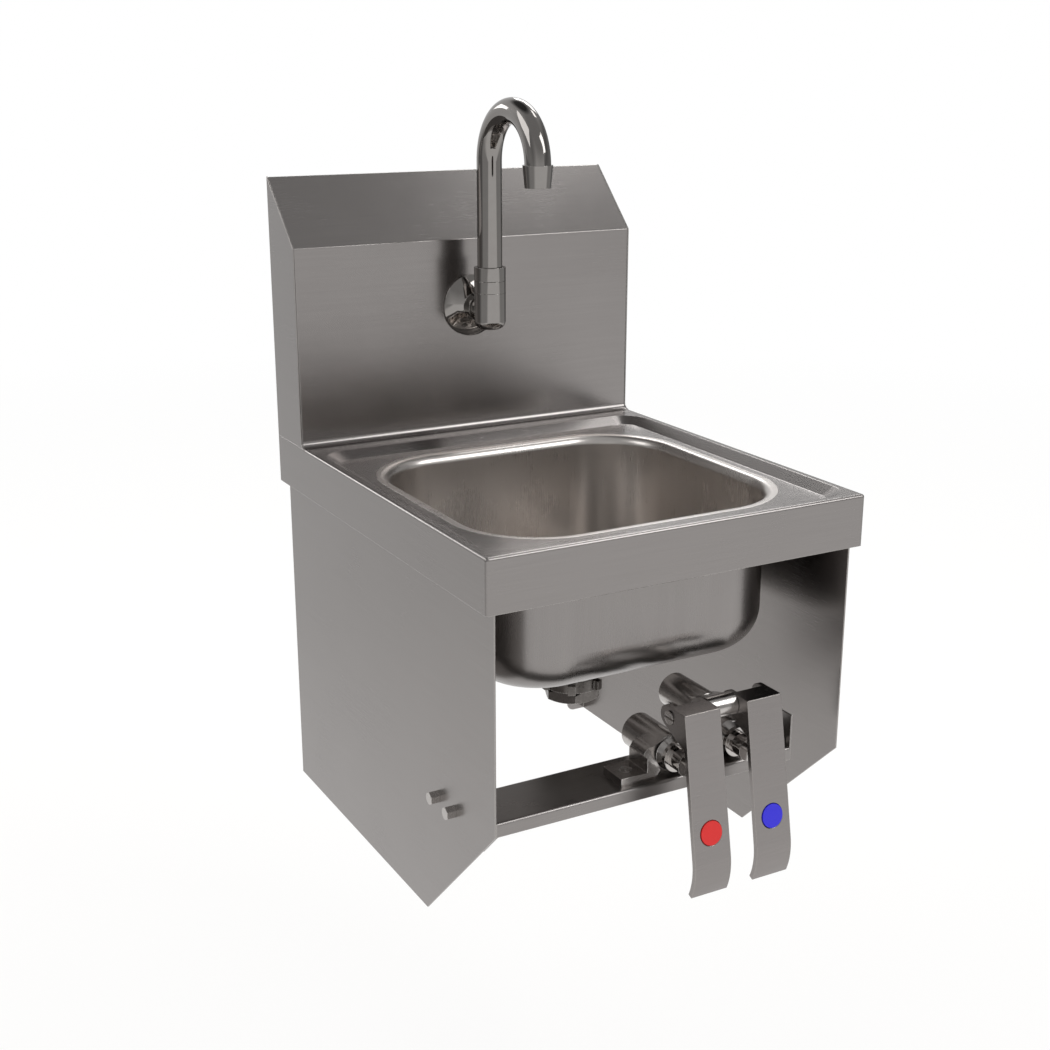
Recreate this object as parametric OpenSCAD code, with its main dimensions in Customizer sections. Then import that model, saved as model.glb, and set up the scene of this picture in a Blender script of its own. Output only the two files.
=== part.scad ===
/* [Sink shell] */
// Width across the side aprons
sink_w = 355.6; // [340:0.1:400]
// Depth from the wall to the face of the front apron
sink_d = 432; // [420:1:480]
// Height of the aprons below the deck
apron_h = 45; // [40:1:60]
// Thickness of the stainless sheet
sheet = 1.2; // [0.9:0.1:1.6]
// Outside radius of the bends around the deck
bend_r = 2.5; // [2:0.1:4]
// Set-back of the side panels from the faces of the side aprons
panel_inset = 8.9; // [7:0.1:12]
// Width of the return under the front apron
front_return = 4.4; // [3:0.1:5]
// Height of the lip turned up inside each side return
lip_h = 17; // [15:1:22]

/* [Deck recess] */
// Raised rim left around the front and sides of the recess
recess_rim = 7; // [5:0.5:9]
// Raised ledge left between the recess and the backsplash
recess_ledge = 26; // [20:1:30]
// Depth of the recess below the deck
recess_depth = 6.6; // [4:0.1:9]
// Width of the sloping side of the recess
recess_ramp = 12; // [8:0.5:14]
// Corner radius at the bottom of the recess
recess_r = 14; // [8:1:20]

/* [Bowl] */
// Land between the bowl and each side apron
bowl_side_land = 37.8; // [37:0.1:50]
// Land between the bowl and the front apron
bowl_front_land = 44; // [42:1:60]
// Land between the bowl and the backsplash
bowl_back_land = 64; // [62:1:80]
// Depth of the bowl floor below the recess
bowl_depth = 139.9; // [120:0.1:150]
// Radius of the upright corners
bowl_corner_r = 66; // [60:1:90]
// Radius between the walls and the floor
bowl_floor_r = 36; // [20:1:40]
// Radius of the rolled rim
bowl_roll_r = 8; // [5:0.5:9]
// Flat flange outside the rolled rim
bowl_flange = 4; // [2:0.5:5]

/* [Backsplash] */
// Depth of the backsplash box from the wall
splash_d = 60; // [54:1:66]
// Height of the upright face above the deck
splash_face_h = 183; // [170:1:200]
// Height of the backsplash above the deck
splash_h = 242.7; // [236:0.1:260]
// Radius of the cove between deck and backsplash
cove_r = 6; // [4:0.5:10]
// Length of the foot flange in front of the cove
foot_flange = 10; // [6:1:12]
// Length of the hook turned down behind the backsplash
hook_h = 20; // [16:1:24]

/* [Wall bracket] */
// Depth of the bracket screw holes below the top of the backsplash
bracket_hole_drop = 38.7; // [37:0.1:42]
// Set-back of the bracket ends from the side aprons
bracket_inset = 37.8; // [20:0.1:45]
// Distance of the two screw holes from the bracket ends
bracket_hole_inset = 13; // [10:1:30]
// Radius of the bracket screw holes
bracket_hole_r = 4; // [3:0.5:5]
// Height of bracket plate below the screw holes
bracket_drop = 14; // [10:1:20]
// Height of the lip that holds the hook
bracket_lip_h = 12; // [8:1:13]

/* [Side panels] */
// Depth of the panels below the deck
panel_h = 358; // [330:1:400]
// Set-back of the panel front edge from the apron face
panel_front_gap = 5; // [5:0.5:8]
// Size of the sloping cut at the lower front corner
panel_cut = 127; // [100:1:140]
// Width of the flange against the wall
wall_flange = 22; // [18:1:30]
// Corner radius of the wall flange
wall_flange_r = 8; // [4:1:12]
// Radius of the wall screw holes in the flanges
wall_hole_r = 3.5; // [2.5:0.5:4.5]
// Distance of the upper wall holes below the deck
wall_hole_top = 110; // [80:1:140]
// Height of the lower wall holes above the bottom of the panels
wall_hole_low = 38; // [30:1:60]
// Radius of the bolts that hang the panels
hang_bolt_r = 2.5; // [2:0.5:3]
// Distance of the first hanging bolt from the wall
hang_bolt_back = 36; // [30:1:60]
// Distance of the last hanging bolt from the apron face
hang_bolt_front = 42; // [30:1:60]
// Depth of the panel top edge below the deck
panel_top = 25; // [22:1:28]

/* [Valve shelf] */
// Thickness of the shelf
shelf_t = 1.5; // [1.2:0.1:2]
// Depth of the shelf surface below the deck
shelf_z = 219; // [216:1:222]
// Width of the shelf from front to back
shelf_d = 56; // [54:1:62]
// Height of the lips below the shelf
shelf_lip_h = 11.6; // [9:0.1:14]
// Right-hand end of the shelf from the centre plane
shelf_end_x = 118; // [118:1:130]
// Height of the turned-up end
shelf_end_h = 30; // [20:1:36]
// Bend radius of the shelf
shelf_bend_r = 2.4; // [2:0.1:4]
// Distance of the front shelf bolt from the wall
shelf_bolt_y = 353.6; // [340:0.1:360]
// Distance between the two shelf bolts
shelf_bolt_span = 30; // [26:1:34]
// Distance of the shelf bolts below the shelf surface
shelf_bolt_drop = 22.3; // [20:0.1:26]
// Width across flats of the shelf bolt heads and nuts
shelf_bolt_af = 10; // [8:1:11]
// Height of the shelf bolt heads
shelf_bolt_head = 8; // [4:0.5:9]
// Radius of the shelf bolts
shelf_bolt_r = 3; // [2.5:0.5:3]

/* [Drain] */
// Radius of the strainer flange
strainer_r = 41; // [38:1:44]
// Radius of the drain hole in the bowl
drain_hole_r = 30; // [28:1:32]
// Depth of the dished seat round the drain hole
seat_depth = 4; // [3:0.5:6]
// Outside radius of the threaded tail
tail_r = 22; // [20:0.5:23]
// Inside radius of the waste way
waste_r = 19.2; // [17:0.1:19.5]
// Depth of the lower end of the strainer below the bowl floor
tail_h = 57; // [52:0.5:60]
// Width across flats of the coupling nut
coupling_af = 46; // [45:1:52]
// Height of the coupling nut
coupling_h = 10.5; // [9:0.5:14]

/* [Faucet] */
// Height of the faucet centre line above the deck
faucet_z = 120; // [110:1:126]
// Distance of the faucet body axis in front of the backsplash
faucet_reach = 40; // [38:1:46]
// Radius of the faucet body
faucet_r = 14.8; // [14.5:0.1:16]
// Height of the faucet body including its two upper rings
faucet_h = 58; // [56:1:64]
// Depth of the faucet body below its centre line
faucet_drop = 17; // [15:1:20]
// Radius of the rounded lower edge of the body
faucet_round = 8; // [5:1:9]
// Radius of the escutcheon
escutcheon_r = 29.2; // [27:0.1:34]
// Depth of the escutcheon
escutcheon_h = 22; // [18:1:24]
// Outside radius of the spout tube
spout_r = 11.6; // [10.5:0.1:11.7]
// Wall thickness of the spout tube
spout_wall = 1.5; // [1:0.1:1.5]
// Forward reach of the spout
spout_reach = 90.4; // [80:0.1:110]
// Height of the highest point of the spout above the deck
spout_top = 313.8; // [300:0.1:330]
// Height of the outlet above the deck
outlet_z = 238.9; // [225:0.1:245]
// Radius of the aerator at its upper end
aerator_top_r = 13.4; // [12.9:0.1:15]
// Radius of the aerator at its lower end
aerator_low_r = 11.5; // [11.3:0.1:12.5]
// Height of the aerator
aerator_h = 19.4; // [18:0.1:24]
// Radius of the shank thread
shank_r = 10.4; // [9:0.1:10.8]
// Length of the shank behind the face of the backsplash
shank_l = 34; // [30:1:40]

/* [Knee valve] */
// Valve centre from the centre plane of the sink
valve_x = 33; // [30:1:34]
// Distance between the two levers and their chambers
lever_pitch = 61; // [59:1:64]
// Height of the chamber axes above the shelf
chamber_rise = 16.2; // [16:0.1:17]
// Radius of the chambers
chamber_r = 15.8; // [13.5:0.1:16]
// Distance of the chamber back ends from the wall
chamber_back = 362; // [358:1:366]
// Length of the chambers
chamber_l = 50; // [49:1:52]
// Height of the outlet axis above the chamber axes
outlet_rise = 34.3; // [34:0.1:38]
// Radius of the outlet barrel
barrel_r = 15; // [13:0.1:15.5]
// Distance of the outlet barrel back end from the wall
barrel_back = 370; // [366:1:374]
// Length of the outlet barrel
barrel_l = 50.8; // [48:0.1:51]
// Distance between the outer ends of the feet
foot_span = 166; // [162:1:166]
// Width of each foot
foot_w = 25; // [22:1:26]
// Depth of each foot from front to back
foot_d = 28; // [24:1:30]
// Thickness of the feet
foot_t = 7.3; // [6:0.1:9]
// Radius of the supply and outlet thread bores
port_r = 9.3; // [8.5:0.1:9.5]
// Depth of the supply and outlet thread bores
port_l = 14; // [12:1:15]

/* [Levers] */
// Height of the pivot above the chamber axes
pivot_rise = 43.8; // [43:0.1:46]
// Distance of the pivot from the wall
pivot_y = 435.5; // [434:0.5:438]
// Radius of the pivot pin
pivot_r = 4; // [3:0.5:4.5]
// Lever width at the head
lever_w = 34.2; // [32:0.1:35]
// Lever width at the foot
lever_foot_w = 35.4; // [35:0.1:42]
// Lever plate thickness
lever_t = 4.5; // [2:0.5:5]
// Radius of the rounded ends of the lever ears
ear_r = 9; // [7:0.5:9.5]
// Distance of the middle of that rounding behind the pivot
ear_back = 4.4; // [0:0.1:5]
// Distance of the lever face in front of the pivot
lever_front = 20.5; // [19:0.5:24]
// Length of the straight plate below the head
lever_l = 122; // [110:1:140]
// Forward lean of the plate
lever_lean = 10.4; // [5:0.1:12]
// Inside radius of the curl at the foot
curl_r = 52; // [18:1:60]
// Angle of the curl
curl_angle = 34; // [30:1:60]
// Distance of the index disc above the lower end of the straight plate
disc_up = 22; // [18:0.5:40]
// Radius of the index discs
disc_r = 10.1; // [8:0.1:12]

/* [Hidden] */
$fn = 72;
// Overrun of every cut past the face that it opens
over = 1;
// Clearance beside faces that move past each other, and of bolt holes
gap = 0.3;
// Radial clearance of threads and of fixed round fits
fit = 0.05;
// Radial clearance of running fits
run = 0.08;
// Height of the bracket screw holes above the deck
bracket_rise = splash_h - bracket_hole_drop;
deck_z = -bracket_rise;
bowl_w = sink_w - 2 * bowl_side_land;
bowl_d = sink_d - splash_d - bowl_front_land - bowl_back_land;
// Distance of the bowl centre from the wall
bowl_y = sink_d - bowl_front_land - bowl_d / 2;
bracket_w = sink_w - 2 * bracket_inset;
recess_floor = -recess_depth;
bowl_floor = recess_floor - bowl_depth;
deck_back = -(splash_d + cove_r + foot_flange);
slope = atan2(splash_h - splash_face_h, splash_d);
panel_x = sink_w / 2 - panel_inset;
panel_front = sink_d - panel_front_gap;
bracket_t = sheet + 2 * gap;
hook_z = splash_face_h + (splash_d - gap) * tan(slope) - hook_h;
bracket_jog = hook_z - bracket_rise;
hang_z = -(apron_h - lip_h / 2);
hang_step = (sink_d - hang_bolt_back - hang_bolt_front) / 2;
shelf_left = -(panel_x - sheet);
shelf_front = -panel_front;
shelf_back = shelf_front + shelf_d;
shelf_bolt_z = -(shelf_z + shelf_bolt_drop);
// Sheet left round the shelf bolts in the end flange
ear_margin = 13;
// Height of the nuts on the shelf bolts and valve screws
nut_h = 5;
// Set-back of the shelf's end flange from the sloping edge of the panel
flange_set = 0.4;
// Nuts and heads of the panel bolts
hang_nut_h = 4;
hang_head_h = 3.5;
hang_af = 8;
// Radius of the screws through the valve feet, and their heads
foot_screw_r = 2.9;
foot_head_r = 5.6;
// Set-back of the feet from the front edge of the shelf
foot_set = 6;
foot_y = shelf_front + foot_set + foot_d / 2;
// Depth of the end flange that the shelf hangs by
ear_drop = shelf_bolt_drop + ear_margin;

// Thickness of the strainer flange
strainer_t = 2;
seat_z = bowl_floor - seat_depth;
tail_z = bowl_floor - tail_h;
// Thickness of the drain gasket
gasket_t = 3;
// Height of the lugged locknut, its wall and its lugs
locknut_h = 11;
locknut_wall = 3.5;
locknut_lugs = 6;
locknut_lug = 4;
locknut_lug_w = 7;
locknut_lug_h = 8.8;
// Depth of the ledge that carries the grid, and its width
grid_drop = 8;
grid_ledge = 2.5;
// Thickness, holes and hole pitch of the grid
grid_t = 1.5;
grid_hole_r = 2.6;
grid_pitch = 9;
// Turn of the coupling nut as it was left on the thread
coupling_turn = 8;
// Wall of the cup and bell
cup_wall = 1.6;
// Width of the lip that the coupling nut closes on the washer
coupling_lip = 3.6;
// Thickness of the coupling washer
coupling_washer_t = 2.6;
coupling_top = tail_z - coupling_washer_t - coupling_lip + coupling_h;
locknut_z = coupling_top + gap;
bell_z = locknut_z + locknut_h;

faucet_y = -(splash_d + faucet_reach);
body_z = faucet_z - faucet_drop;
// Height of the plain ring between body and packing nut
ring_h = 11.2;
// Height of the packing nut
packing_h = 12.6;
ring_z = body_z + faucet_h - packing_h - ring_h;
packing_z = ring_z + ring_h;
// Step from the body to the threaded neck inside the packing nut
neck_step = 1.8;
neck_r = faucet_r - neck_step;
// Lip of the packing nut that holds the collar down
packing_lip = 2.4;
// Radius of the spout post inside the body
post_r = 7.9;
// Length of the spout post
post_l = 30;
// Radius of the water way through the faucet
way_r = 5.5;
// Collar on the spout that the packing nut holds down
collar_step = 0.5;
collar_r = spout_r + collar_step;
collar_h = 2.5;
collar_z = packing_z + packing_h - packing_lip - run - collar_h;
neck_top = collar_z - run;
post_bore_r = post_r + run;
// Rings round the post, and the height between them
post_ring_t = 0.7;
post_ring_pitch = 12;
post_ring_in = post_r + fit - 2 * post_ring_t - fit;
post_ring_heights = [for (i = [0, 1]) collar_z - post_l / 2 + (i - 0.5) * post_ring_pitch];
// Radius of the neck that joins the body to the backsplash
arm_r = 11.5;
// Edge, dome height and hub radius of the escutcheon, and its wall
plate_edge = 2;
plate_dome = 11;
plate_hub_r = 13;
plate_wall = 1.2;
// Seal, washer and nut on the shank
shank_seal_t = 2;
shank_washer_t = 1.5;
shank_nut_h = 7;
shank_nut_af = 30;
shank_seal_r = 16;
// Thread for the supply pipe at the end of the shank, and its step from the thread for the nut
shank_tail_l = 22;
shank_tail_step = 0.2;
arch_r = spout_reach / 2;
arch_z = spout_top - spout_r - arch_r;
outlet_y = faucet_y - spout_reach;
// Length of spout tube inside the aerator
tube_in_aerator = 8.4;
// Thickness of the aerator washer
aerator_washer_t = 1.4;
// Height of the outlet lip of the aerator, its wall and its width
aerator_lip = 1.2;
aerator_wall = 1.25;
aerator_lip_w = 1.4;
// Overlap of the aerator washer inside the end of the spout tube
aerator_washer_w = 1.2;
// Holes through the aerator insert, and their pitch
jet_r = 0.9;
jet_pitch = 3.4;

chamber_z = -(shelf_z - chamber_rise);
barrel_z = chamber_z + outlet_rise;
pivot_z = chamber_z + pivot_rise;
chamber_front = -(chamber_back + chamber_l);
// Chamfer on the back ends of the chambers and of the barrel
cast_chamfer = 0.8;
// Depth of the chamber behind the seat, measured from the port
spring_room = 22;
// Radius of the chamber bore
bore_r = 8;
// Thickness and radius of the seat
seat_t = 3;
seat_r = 4.5;
// Radius of the thread that takes the bonnet
bonnet_r = 8.6;
// Length of the bonnet thread
bonnet_thread = 7;
seat_back = -(chamber_back + port_l + spring_room);
seat_front = seat_back - seat_t;
// Thickness of the perforated spring retainer
retainer_t = 2;
retainer_y = -(chamber_back + port_l + retainer_t);
// Radius of the stems
stem_r = 3;
// Radius and thickness of the poppet and its seat washer
poppet_r = 6.2;
poppet_t = 3;
seat_washer_t = 1.5;
// Bright rim, barrel and front ring of the bonnets
rim_r = 13;
rim_t = 4;
bonnet_barrel_r = 9.6;
bonnet_l = 20;
front_ring_r = 10.4;
front_ring_t = 3;
neck_gap = 8;
rim_y = chamber_front - neck_gap;
// Radius of the chamber where it meets the bonnet
mouth_r = 11.4;
// Thickness and radius of the seal under the bonnet rim
bonnet_seal_t = 1;
bonnet_seal_r = 12;
// Width of the rings round the stems, and their distance from the bonnet end
stem_ring_t = 0.9;
stem_ring_in = 6;
// Radius of the mixing space in front of the seats, and of the passages
mix_r = 6;
passage_r = 4;
cross_y = (seat_front + rim_y + bonnet_thread) / 2;
// Radius of the casting round the passages
manifold_r = 11;
riser_r = 10;
// Step from the port thread to the retainer, and the holes in it
retainer_step = 0.6;
retainer_r = port_r - retainer_step;
retainer_hole_r = 1.6;
retainer_pitch = 5.4;
// Boss that centres the spring on the poppet
boss_r = 4.2;
boss_h = 2.5;
// Shoulder of the casting over each foot, its web and the recess in front
shoulder_r = 10;
web_rise = 20.2;
web_reach = 12.8;
web_foot = 7.8;
web_cut_r = 32;
// Set-back of the shoulders from the front of the feet
shoulder_set = 7;
// Width of the lug that carries the hub, and how far its edges run inside the hub
lug_w = 22;
lug_set = 0.5;
bonnet_front = rim_y - bonnet_l;
lean_tan = tan(lever_lean);
lever_face_y = -(pivot_y + lever_front);
// Height of the lever head above the pivot
head_top = pivot_z + ear_r;
stem_tip = lever_face_y - (head_top - chamber_z) * lean_tan + lever_t / cos(lever_lean) + gap;
hub_l = lever_pitch - lever_w - 2 * gap;
// Radius of the hub that carries the pivot
hub_r = 10;
// Head of the pivot pin, its slot, its groove and its clip
pin_head_r = 5.8;
pin_head_h = 1;
pin_slot_w = 2;
pin_slot_h = 1.1;
pin_end = 2;
clip_t = 1;
clip_r = 6;
clip_groove = 0.8;
// Distance of the lower end of the ears below the head
ear_l = 30;
// Depth of the pocket for an index disc, and how far the disc stands proud
disc_pocket = 1;
// Bevel round the pocket
disc_bevel = 0.7;
disc_proud = 0.6;
// Wire of the return springs, and their curls
wire_r = 0.5;
spring_r = 5.2;
spring_curls = 4;
spring_sides = 6;
spring_front = seat_back + seat_washer_t + poppet_t + gap;
spring_l = retainer_y - spring_front - gap;

// Everything below is drawn from the deck, and this hangs it from the bracket
module at_deck() {
    translate([0, 0, deck_z]) children();
}

// Cylinders along the X and Y axes, from the given start towards +X or +Y
module rod_x(r, l) {
    rotate([0, 90, 0]) cylinder(r = r, h = l);
}

module rod_y(r, l) {
    rotate([-90, 0, 0]) cylinder(r = r, h = l);
}

module hex_x(af, l) {
    rotate([0, 90, 0]) cylinder(r = af / sqrt(3), h = l, $fn = 6);
}

module hex_y(af, l) {
    rotate([-90, 0, 0]) cylinder(r = af / sqrt(3), h = l, $fn = 6);
}

// Revolves a profile of radius and length about the Y axis, with length towards -Y
module turned_y() {
    rotate([90, 0, 0]) rotate_extrude() children();
}

module rounded_rect(w, d, r) {
    square([w - 2 * r, d], center = true);
    square([w, d - 2 * r], center = true);
    for (x = [-1, 1], y = [-1, 1])
        translate([x * (w / 2 - r), y * (d / 2 - r)]) circle(r);
}

// Box under the deck with rounded top edges at the front and sides and square edges at the back
module tray_block(w, d, h, r, square_back) {
    for (x = [-1, 1]) {
        translate([x * (w / 2 - r), -d + r, -h]) cylinder(r = r, h = h - r);
        translate([x * (w / 2 - r), -d + r, -r]) sphere(r);
        translate([x * (w / 2 - r), -d + r, -r]) rod_y(r, d - r);
    }
    translate([-w / 2 + r, -d + r, -r]) rod_x(r, w - 2 * r);
    translate([-w / 2 + r, -d, -h]) cube([w - 2 * r, d, h - r]);
    translate([-w / 2, -d + r, -h]) cube([w, d - r, h - r]);
    translate([-w / 2 + r, -d + r, -h]) cube([w - 2 * r, d - r, h]);
    if (square_back > 0) translate([-w / 2, -square_back, -h]) cube([w, square_back, h]);
}

// Solid of the recess, or the solid that leaves a sheet of the given thickness round it
module recess_solid(extra) {
    pitch = atan2(recess_depth, recess_ramp);
    grow = extra * tan(pitch / 2);
    r = recess_r + grow;
    w = sink_w - 2 * (recess_rim + recess_ramp) + 2 * grow;
    d = sink_d - splash_d - recess_rim - recess_ledge - 2 * recess_ramp + 2 * grow;
    reach = recess_ramp + extra / sin(pitch) - grow;
    low = -(recess_depth + extra);
    translate([0, -(sink_d - recess_rim - recess_ramp + grow - d / 2), 0]) {
        translate([0, 0, low]) linear_extrude(-low) rounded_rect(w, d, r);
        for (x = [-1, 1], y = [-1, 1])
            translate([x * (w / 2 - r), y * (d / 2 - r), low]) cylinder(r1 = r, r2 = r + reach, h = -low);
        rotate([90, 0, 0]) translate([0, 0, r - d / 2]) linear_extrude(d - 2 * r)
            ramp_profile(w, reach, low);
        rotate([90, 0, 90]) translate([0, 0, r - w / 2]) linear_extrude(w - 2 * r)
            ramp_profile(d, reach, low);
    }
}

module ramp_profile(w, reach, low) {
    polygon([[-w / 2, low], [w / 2, low], [w / 2 + reach, 0], [-w / 2 - reach, 0]]);
}

// Deck, front and side aprons and the returns under them, folded from one sheet
module deck() {
    opening_w = bowl_w + 2 * (bowl_roll_r + bowl_flange);
    opening_d = bowl_d + 2 * (bowl_roll_r + bowl_flange);
    color("silver") at_deck() {
        difference() {
            tray_block(sink_w, sink_d, apron_h, bend_r, splash_d + cove_r);
            recess_solid(0);
            difference() {
                translate([0, over, -sheet])
                    tray_block(sink_w - 2 * sheet, sink_d - sheet + over, apron_h - 2 * sheet,
                        bend_r - sheet, 0);
                recess_solid(sheet);
            }
            translate([-panel_x, -(sink_d - front_return), -apron_h - over])
                cube([2 * panel_x, sink_d + over, 2 * sheet + over]);
            translate([0, -bowl_y, recess_floor - 2 * sheet]) linear_extrude(3 * sheet)
                rounded_rect(opening_w, opening_d,
                    bowl_corner_r + bowl_roll_r + bowl_flange);
            translate([-sink_w / 2 + bend_r, deck_back, -sheet - over])
                cube([sink_w - 2 * bend_r, -deck_back + over, sheet + 2 * over]);
            translate([-sink_w / 2 + sheet, -(splash_d + cove_r), -apron_h + sheet])
                cube([sink_w - 2 * sheet, splash_d + cove_r + over, apron_h]);
        }
        for (side = [-1, 1]) return_lip(side);
    }
}

// Lip turned up inside a side return, drilled for the panel bolts
module return_lip(side) {
    difference() {
        translate([side * (panel_x + sheet / 2), -(sink_d - front_return), -apron_h])
            translate([-sheet / 2, 0, 0]) cube([sheet, sink_d - front_return, lip_h]);
        hang_places(side) translate([-sheet - over, 0, 0])
            rod_x(hang_bolt_r + gap, 2 * (sheet + over));
    }
}

// Places of the three bolts that hang a side panel
module hang_places(side) {
    for (i = [0:2])
        translate([side * panel_x, -(hang_bolt_back + i * hang_step), hang_z]) children();
}

// Fold of the backsplash above its foot: x is the place from the wall, y the height
module splash_profile() {
    face = -splash_d;
    inner_bend = splash_face_h + sheet * tan(slope) - sheet / cos(slope);
    top = splash_face_h + (splash_d - gap) * tan(slope);
    translate([face - cove_r, cove_r]) intersection() {
        difference() {
            circle(cove_r + sheet);
            circle(cove_r);
        }
        translate([0, -cove_r - sheet]) square(cove_r + sheet);
    }
    translate([face, cove_r]) square([sheet, inner_bend - cove_r]);
    polygon([[face, inner_bend], [face, splash_face_h], [-gap, top],
        [-gap, top - sheet / cos(slope)], [face + sheet, inner_bend]]);
    translate([-gap - sheet, top - hook_h]) square([sheet, hook_h - sheet * tan(slope)]);
}

// Backsplash with its foot, cove, upright face, sloping top and rear hook
module backsplash() {
    w = sink_w - 2 * sheet;
    color("silver") at_deck() difference() {
        union() {
            rotate([90, 0, 90]) translate([0, 0, -w / 2]) linear_extrude(w) splash_profile();
            translate([-sink_w / 2 + bend_r, deck_back, -sheet])
                cube([sink_w - 2 * bend_r, foot_flange, sheet]);
        }
        translate([0, -splash_d - over, faucet_z]) rod_y(shank_r + gap, sheet + 2 * over);
    }
}

// End of the backsplash box, flush with the side apron below it
module end_cap(side) {
    x = side > 0 ? sink_w / 2 - sheet : -sink_w / 2;
    color("silver") at_deck() translate([x, 0, 0]) rotate([90, 0, 90]) linear_extrude(sheet) {
        difference() {
            polygon([[-splash_d - cove_r, 0], [-splash_d - cove_r, cove_r], [-splash_d, cove_r],
                [-splash_d, splash_face_h], [0, splash_h], [0, 0]]);
            translate([-splash_d - cove_r, cove_r]) circle(cove_r);
        }
    }
}

module left_end_cap() {
    end_cap(-1);
}

module right_end_cap() {
    end_cap(1);
}

// Wall of the bowl in section, with x measured out from the corner centres
module bowl_section() {
    wall = bowl_corner_r;
    roll = wall + bowl_roll_r;
    foot = wall - bowl_floor_r;
    low = -bowl_depth;
    difference() {
        union() {
            translate([0, low - sheet]) square([foot, bowl_depth]);
            translate([0, low + bowl_floor_r]) square([wall + sheet, bowl_depth - bowl_floor_r]);
            translate([foot, low + bowl_floor_r]) circle(bowl_floor_r + sheet);
            translate([wall, -bowl_roll_r]) square([bowl_roll_r + bowl_flange, bowl_roll_r]);
        }
        translate([-over, low]) square([foot + over, bowl_depth + over]);
        translate([-over, low + bowl_floor_r]) square([wall + over, bowl_depth]);
        translate([foot, low + bowl_floor_r]) circle(bowl_floor_r);
        translate([-bowl_floor_r - over, low - over - bowl_floor_r])
            square([bowl_floor_r + over, bowl_depth]);
        translate([roll, -bowl_roll_r]) circle(bowl_roll_r - sheet);
        translate([roll, -bowl_roll_r - over])
            square([bowl_flange + over, bowl_roll_r - sheet + over]);
        difference() {
            translate([wall - over, -bowl_roll_r]) square([bowl_roll_r + over, bowl_roll_r + over]);
            translate([roll, -bowl_roll_r]) circle(bowl_roll_r);
        }
    }
}

// Drawn bowl: four revolved corners, four straight walls, and a floor dished round the drain
module bowl() {
    x = bowl_w / 2 - bowl_corner_r;
    y = bowl_d / 2 - bowl_corner_r;
    dish_r = strainer_r + gap + seat_depth;
    color("darkgray") at_deck() translate([0, -bowl_y, recess_floor]) {
        for (turn = [0, 180]) rotate([0, 0, turn]) {
            translate([x, y, 0]) rotate_extrude(angle = 90) bowl_section();
            translate([-x, y, 0]) rotate([0, 0, 90]) rotate_extrude(angle = 90) bowl_section();
            translate([x, y, 0]) rotate([90, 0, 0]) linear_extrude(2 * y) bowl_section();
            rotate([0, 0, 90]) translate([y, x, 0]) rotate([90, 0, 0]) linear_extrude(2 * x)
                bowl_section();
        }
        difference() {
            translate([-x, -y, -bowl_depth - sheet]) cube([2 * x, 2 * y, sheet]);
            translate([0, 0, -bowl_depth - sheet - over]) cylinder(r = dish_r, h = sheet + 2 * over);
        }
        translate([0, 0, -bowl_depth]) rotate_extrude() polygon([[drain_hole_r, -seat_depth],
            [strainer_r + gap, -seat_depth], [dish_r, 0], [dish_r, -sheet],
            [strainer_r + gap, -seat_depth - sheet], [drain_hole_r, -seat_depth - sheet]]);
    }
}

// Wall bracket folded in a Z, with its lip clear of the wall for the hook
module wall_bracket() {
    color("gainsboro") difference() {
        translate([-bracket_w / 2, 0, 0]) rotate([90, 0, 90]) linear_extrude(bracket_w) {
            translate([-bracket_t, -bracket_drop]) square([bracket_t, bracket_drop + bracket_jog]);
            translate([-2 * bracket_t, bracket_jog - bracket_t]) square([2 * bracket_t, bracket_t]);
            translate([-2 * bracket_t, bracket_jog - bracket_t])
                square([bracket_t, bracket_t + bracket_lip_h]);
        }
        for (x = [-1, 1]) translate([x * (bracket_w / 2 - bracket_hole_inset), -bracket_t - over, 0])
            rod_y(bracket_hole_r, bracket_t + 2 * over);
    }
}

// Outline of a side panel: x is the place from the wall, y the height
module panel_outline() {
    polygon([[0, -panel_top], [0, -panel_h], [-(panel_front - panel_cut), -panel_h],
        [-panel_front, -(panel_h - panel_cut)], [-panel_front, -panel_top]]);
}

// Side panel with its flange against the wall
module side_panel(side) {
    x = side > 0 ? panel_x - sheet : -panel_x;
    flange_h = panel_h - panel_top;
    flange_x = side * (panel_x - wall_flange / 2);
    color("silver") at_deck() difference() {
        union() {
            translate([x, 0, 0]) rotate([90, 0, 90]) linear_extrude(sheet) panel_outline();
            translate([flange_x, 0, -panel_h]) rotate([90, 0, 0]) linear_extrude(sheet)
                wall_flange_outline(side, flange_h);
        }
        wall_hole_places(side) translate([0, -sheet - over, 0])
            rod_y(wall_hole_r, sheet + 2 * over);
        hang_places(side) translate([-sheet - over, 0, 0])
            rod_x(hang_bolt_r + gap, 2 * (sheet + over));
        if (side < 0) shelf_bolt_places() translate([-sheet - over, 0, 0])
            rod_x(shelf_bolt_r + gap, sheet + 2 * over);
    }
}

module wall_flange_outline(side, flange_h) {
    translate([-wall_flange / 2, wall_flange_r]) square([wall_flange, flange_h - wall_flange_r]);
    translate([side > 0 ? wall_flange_r - wall_flange / 2 : -wall_flange / 2, 0])
        square([wall_flange - wall_flange_r, wall_flange_r]);
    translate([-side * (wall_flange / 2 - wall_flange_r), wall_flange_r]) circle(wall_flange_r);
}

module wall_hole_places(side) {
    for (drop = [wall_hole_top, panel_h - wall_hole_low])
        translate([side * (panel_x - wall_flange / 2), 0, -drop]) children();
}

// Places of the shelf bolts on the inner face of the left panel
module shelf_bolt_places() {
    for (i = [0, 1])
        translate([shelf_left, -(shelf_bolt_y - i * shelf_bolt_span), shelf_bolt_z]) children();
}

module left_side_panel() {
    side_panel(-1);
}

module right_side_panel() {
    side_panel(1);
}

// Puts its children on each hanging bolt, with x = 0 on the outer face of the panel, x inwards
module hang_frames() {
    for (side = [-1, 1]) hang_places(side) mirror([side > 0 ? 1 : 0, 0, 0]) children();
}

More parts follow.
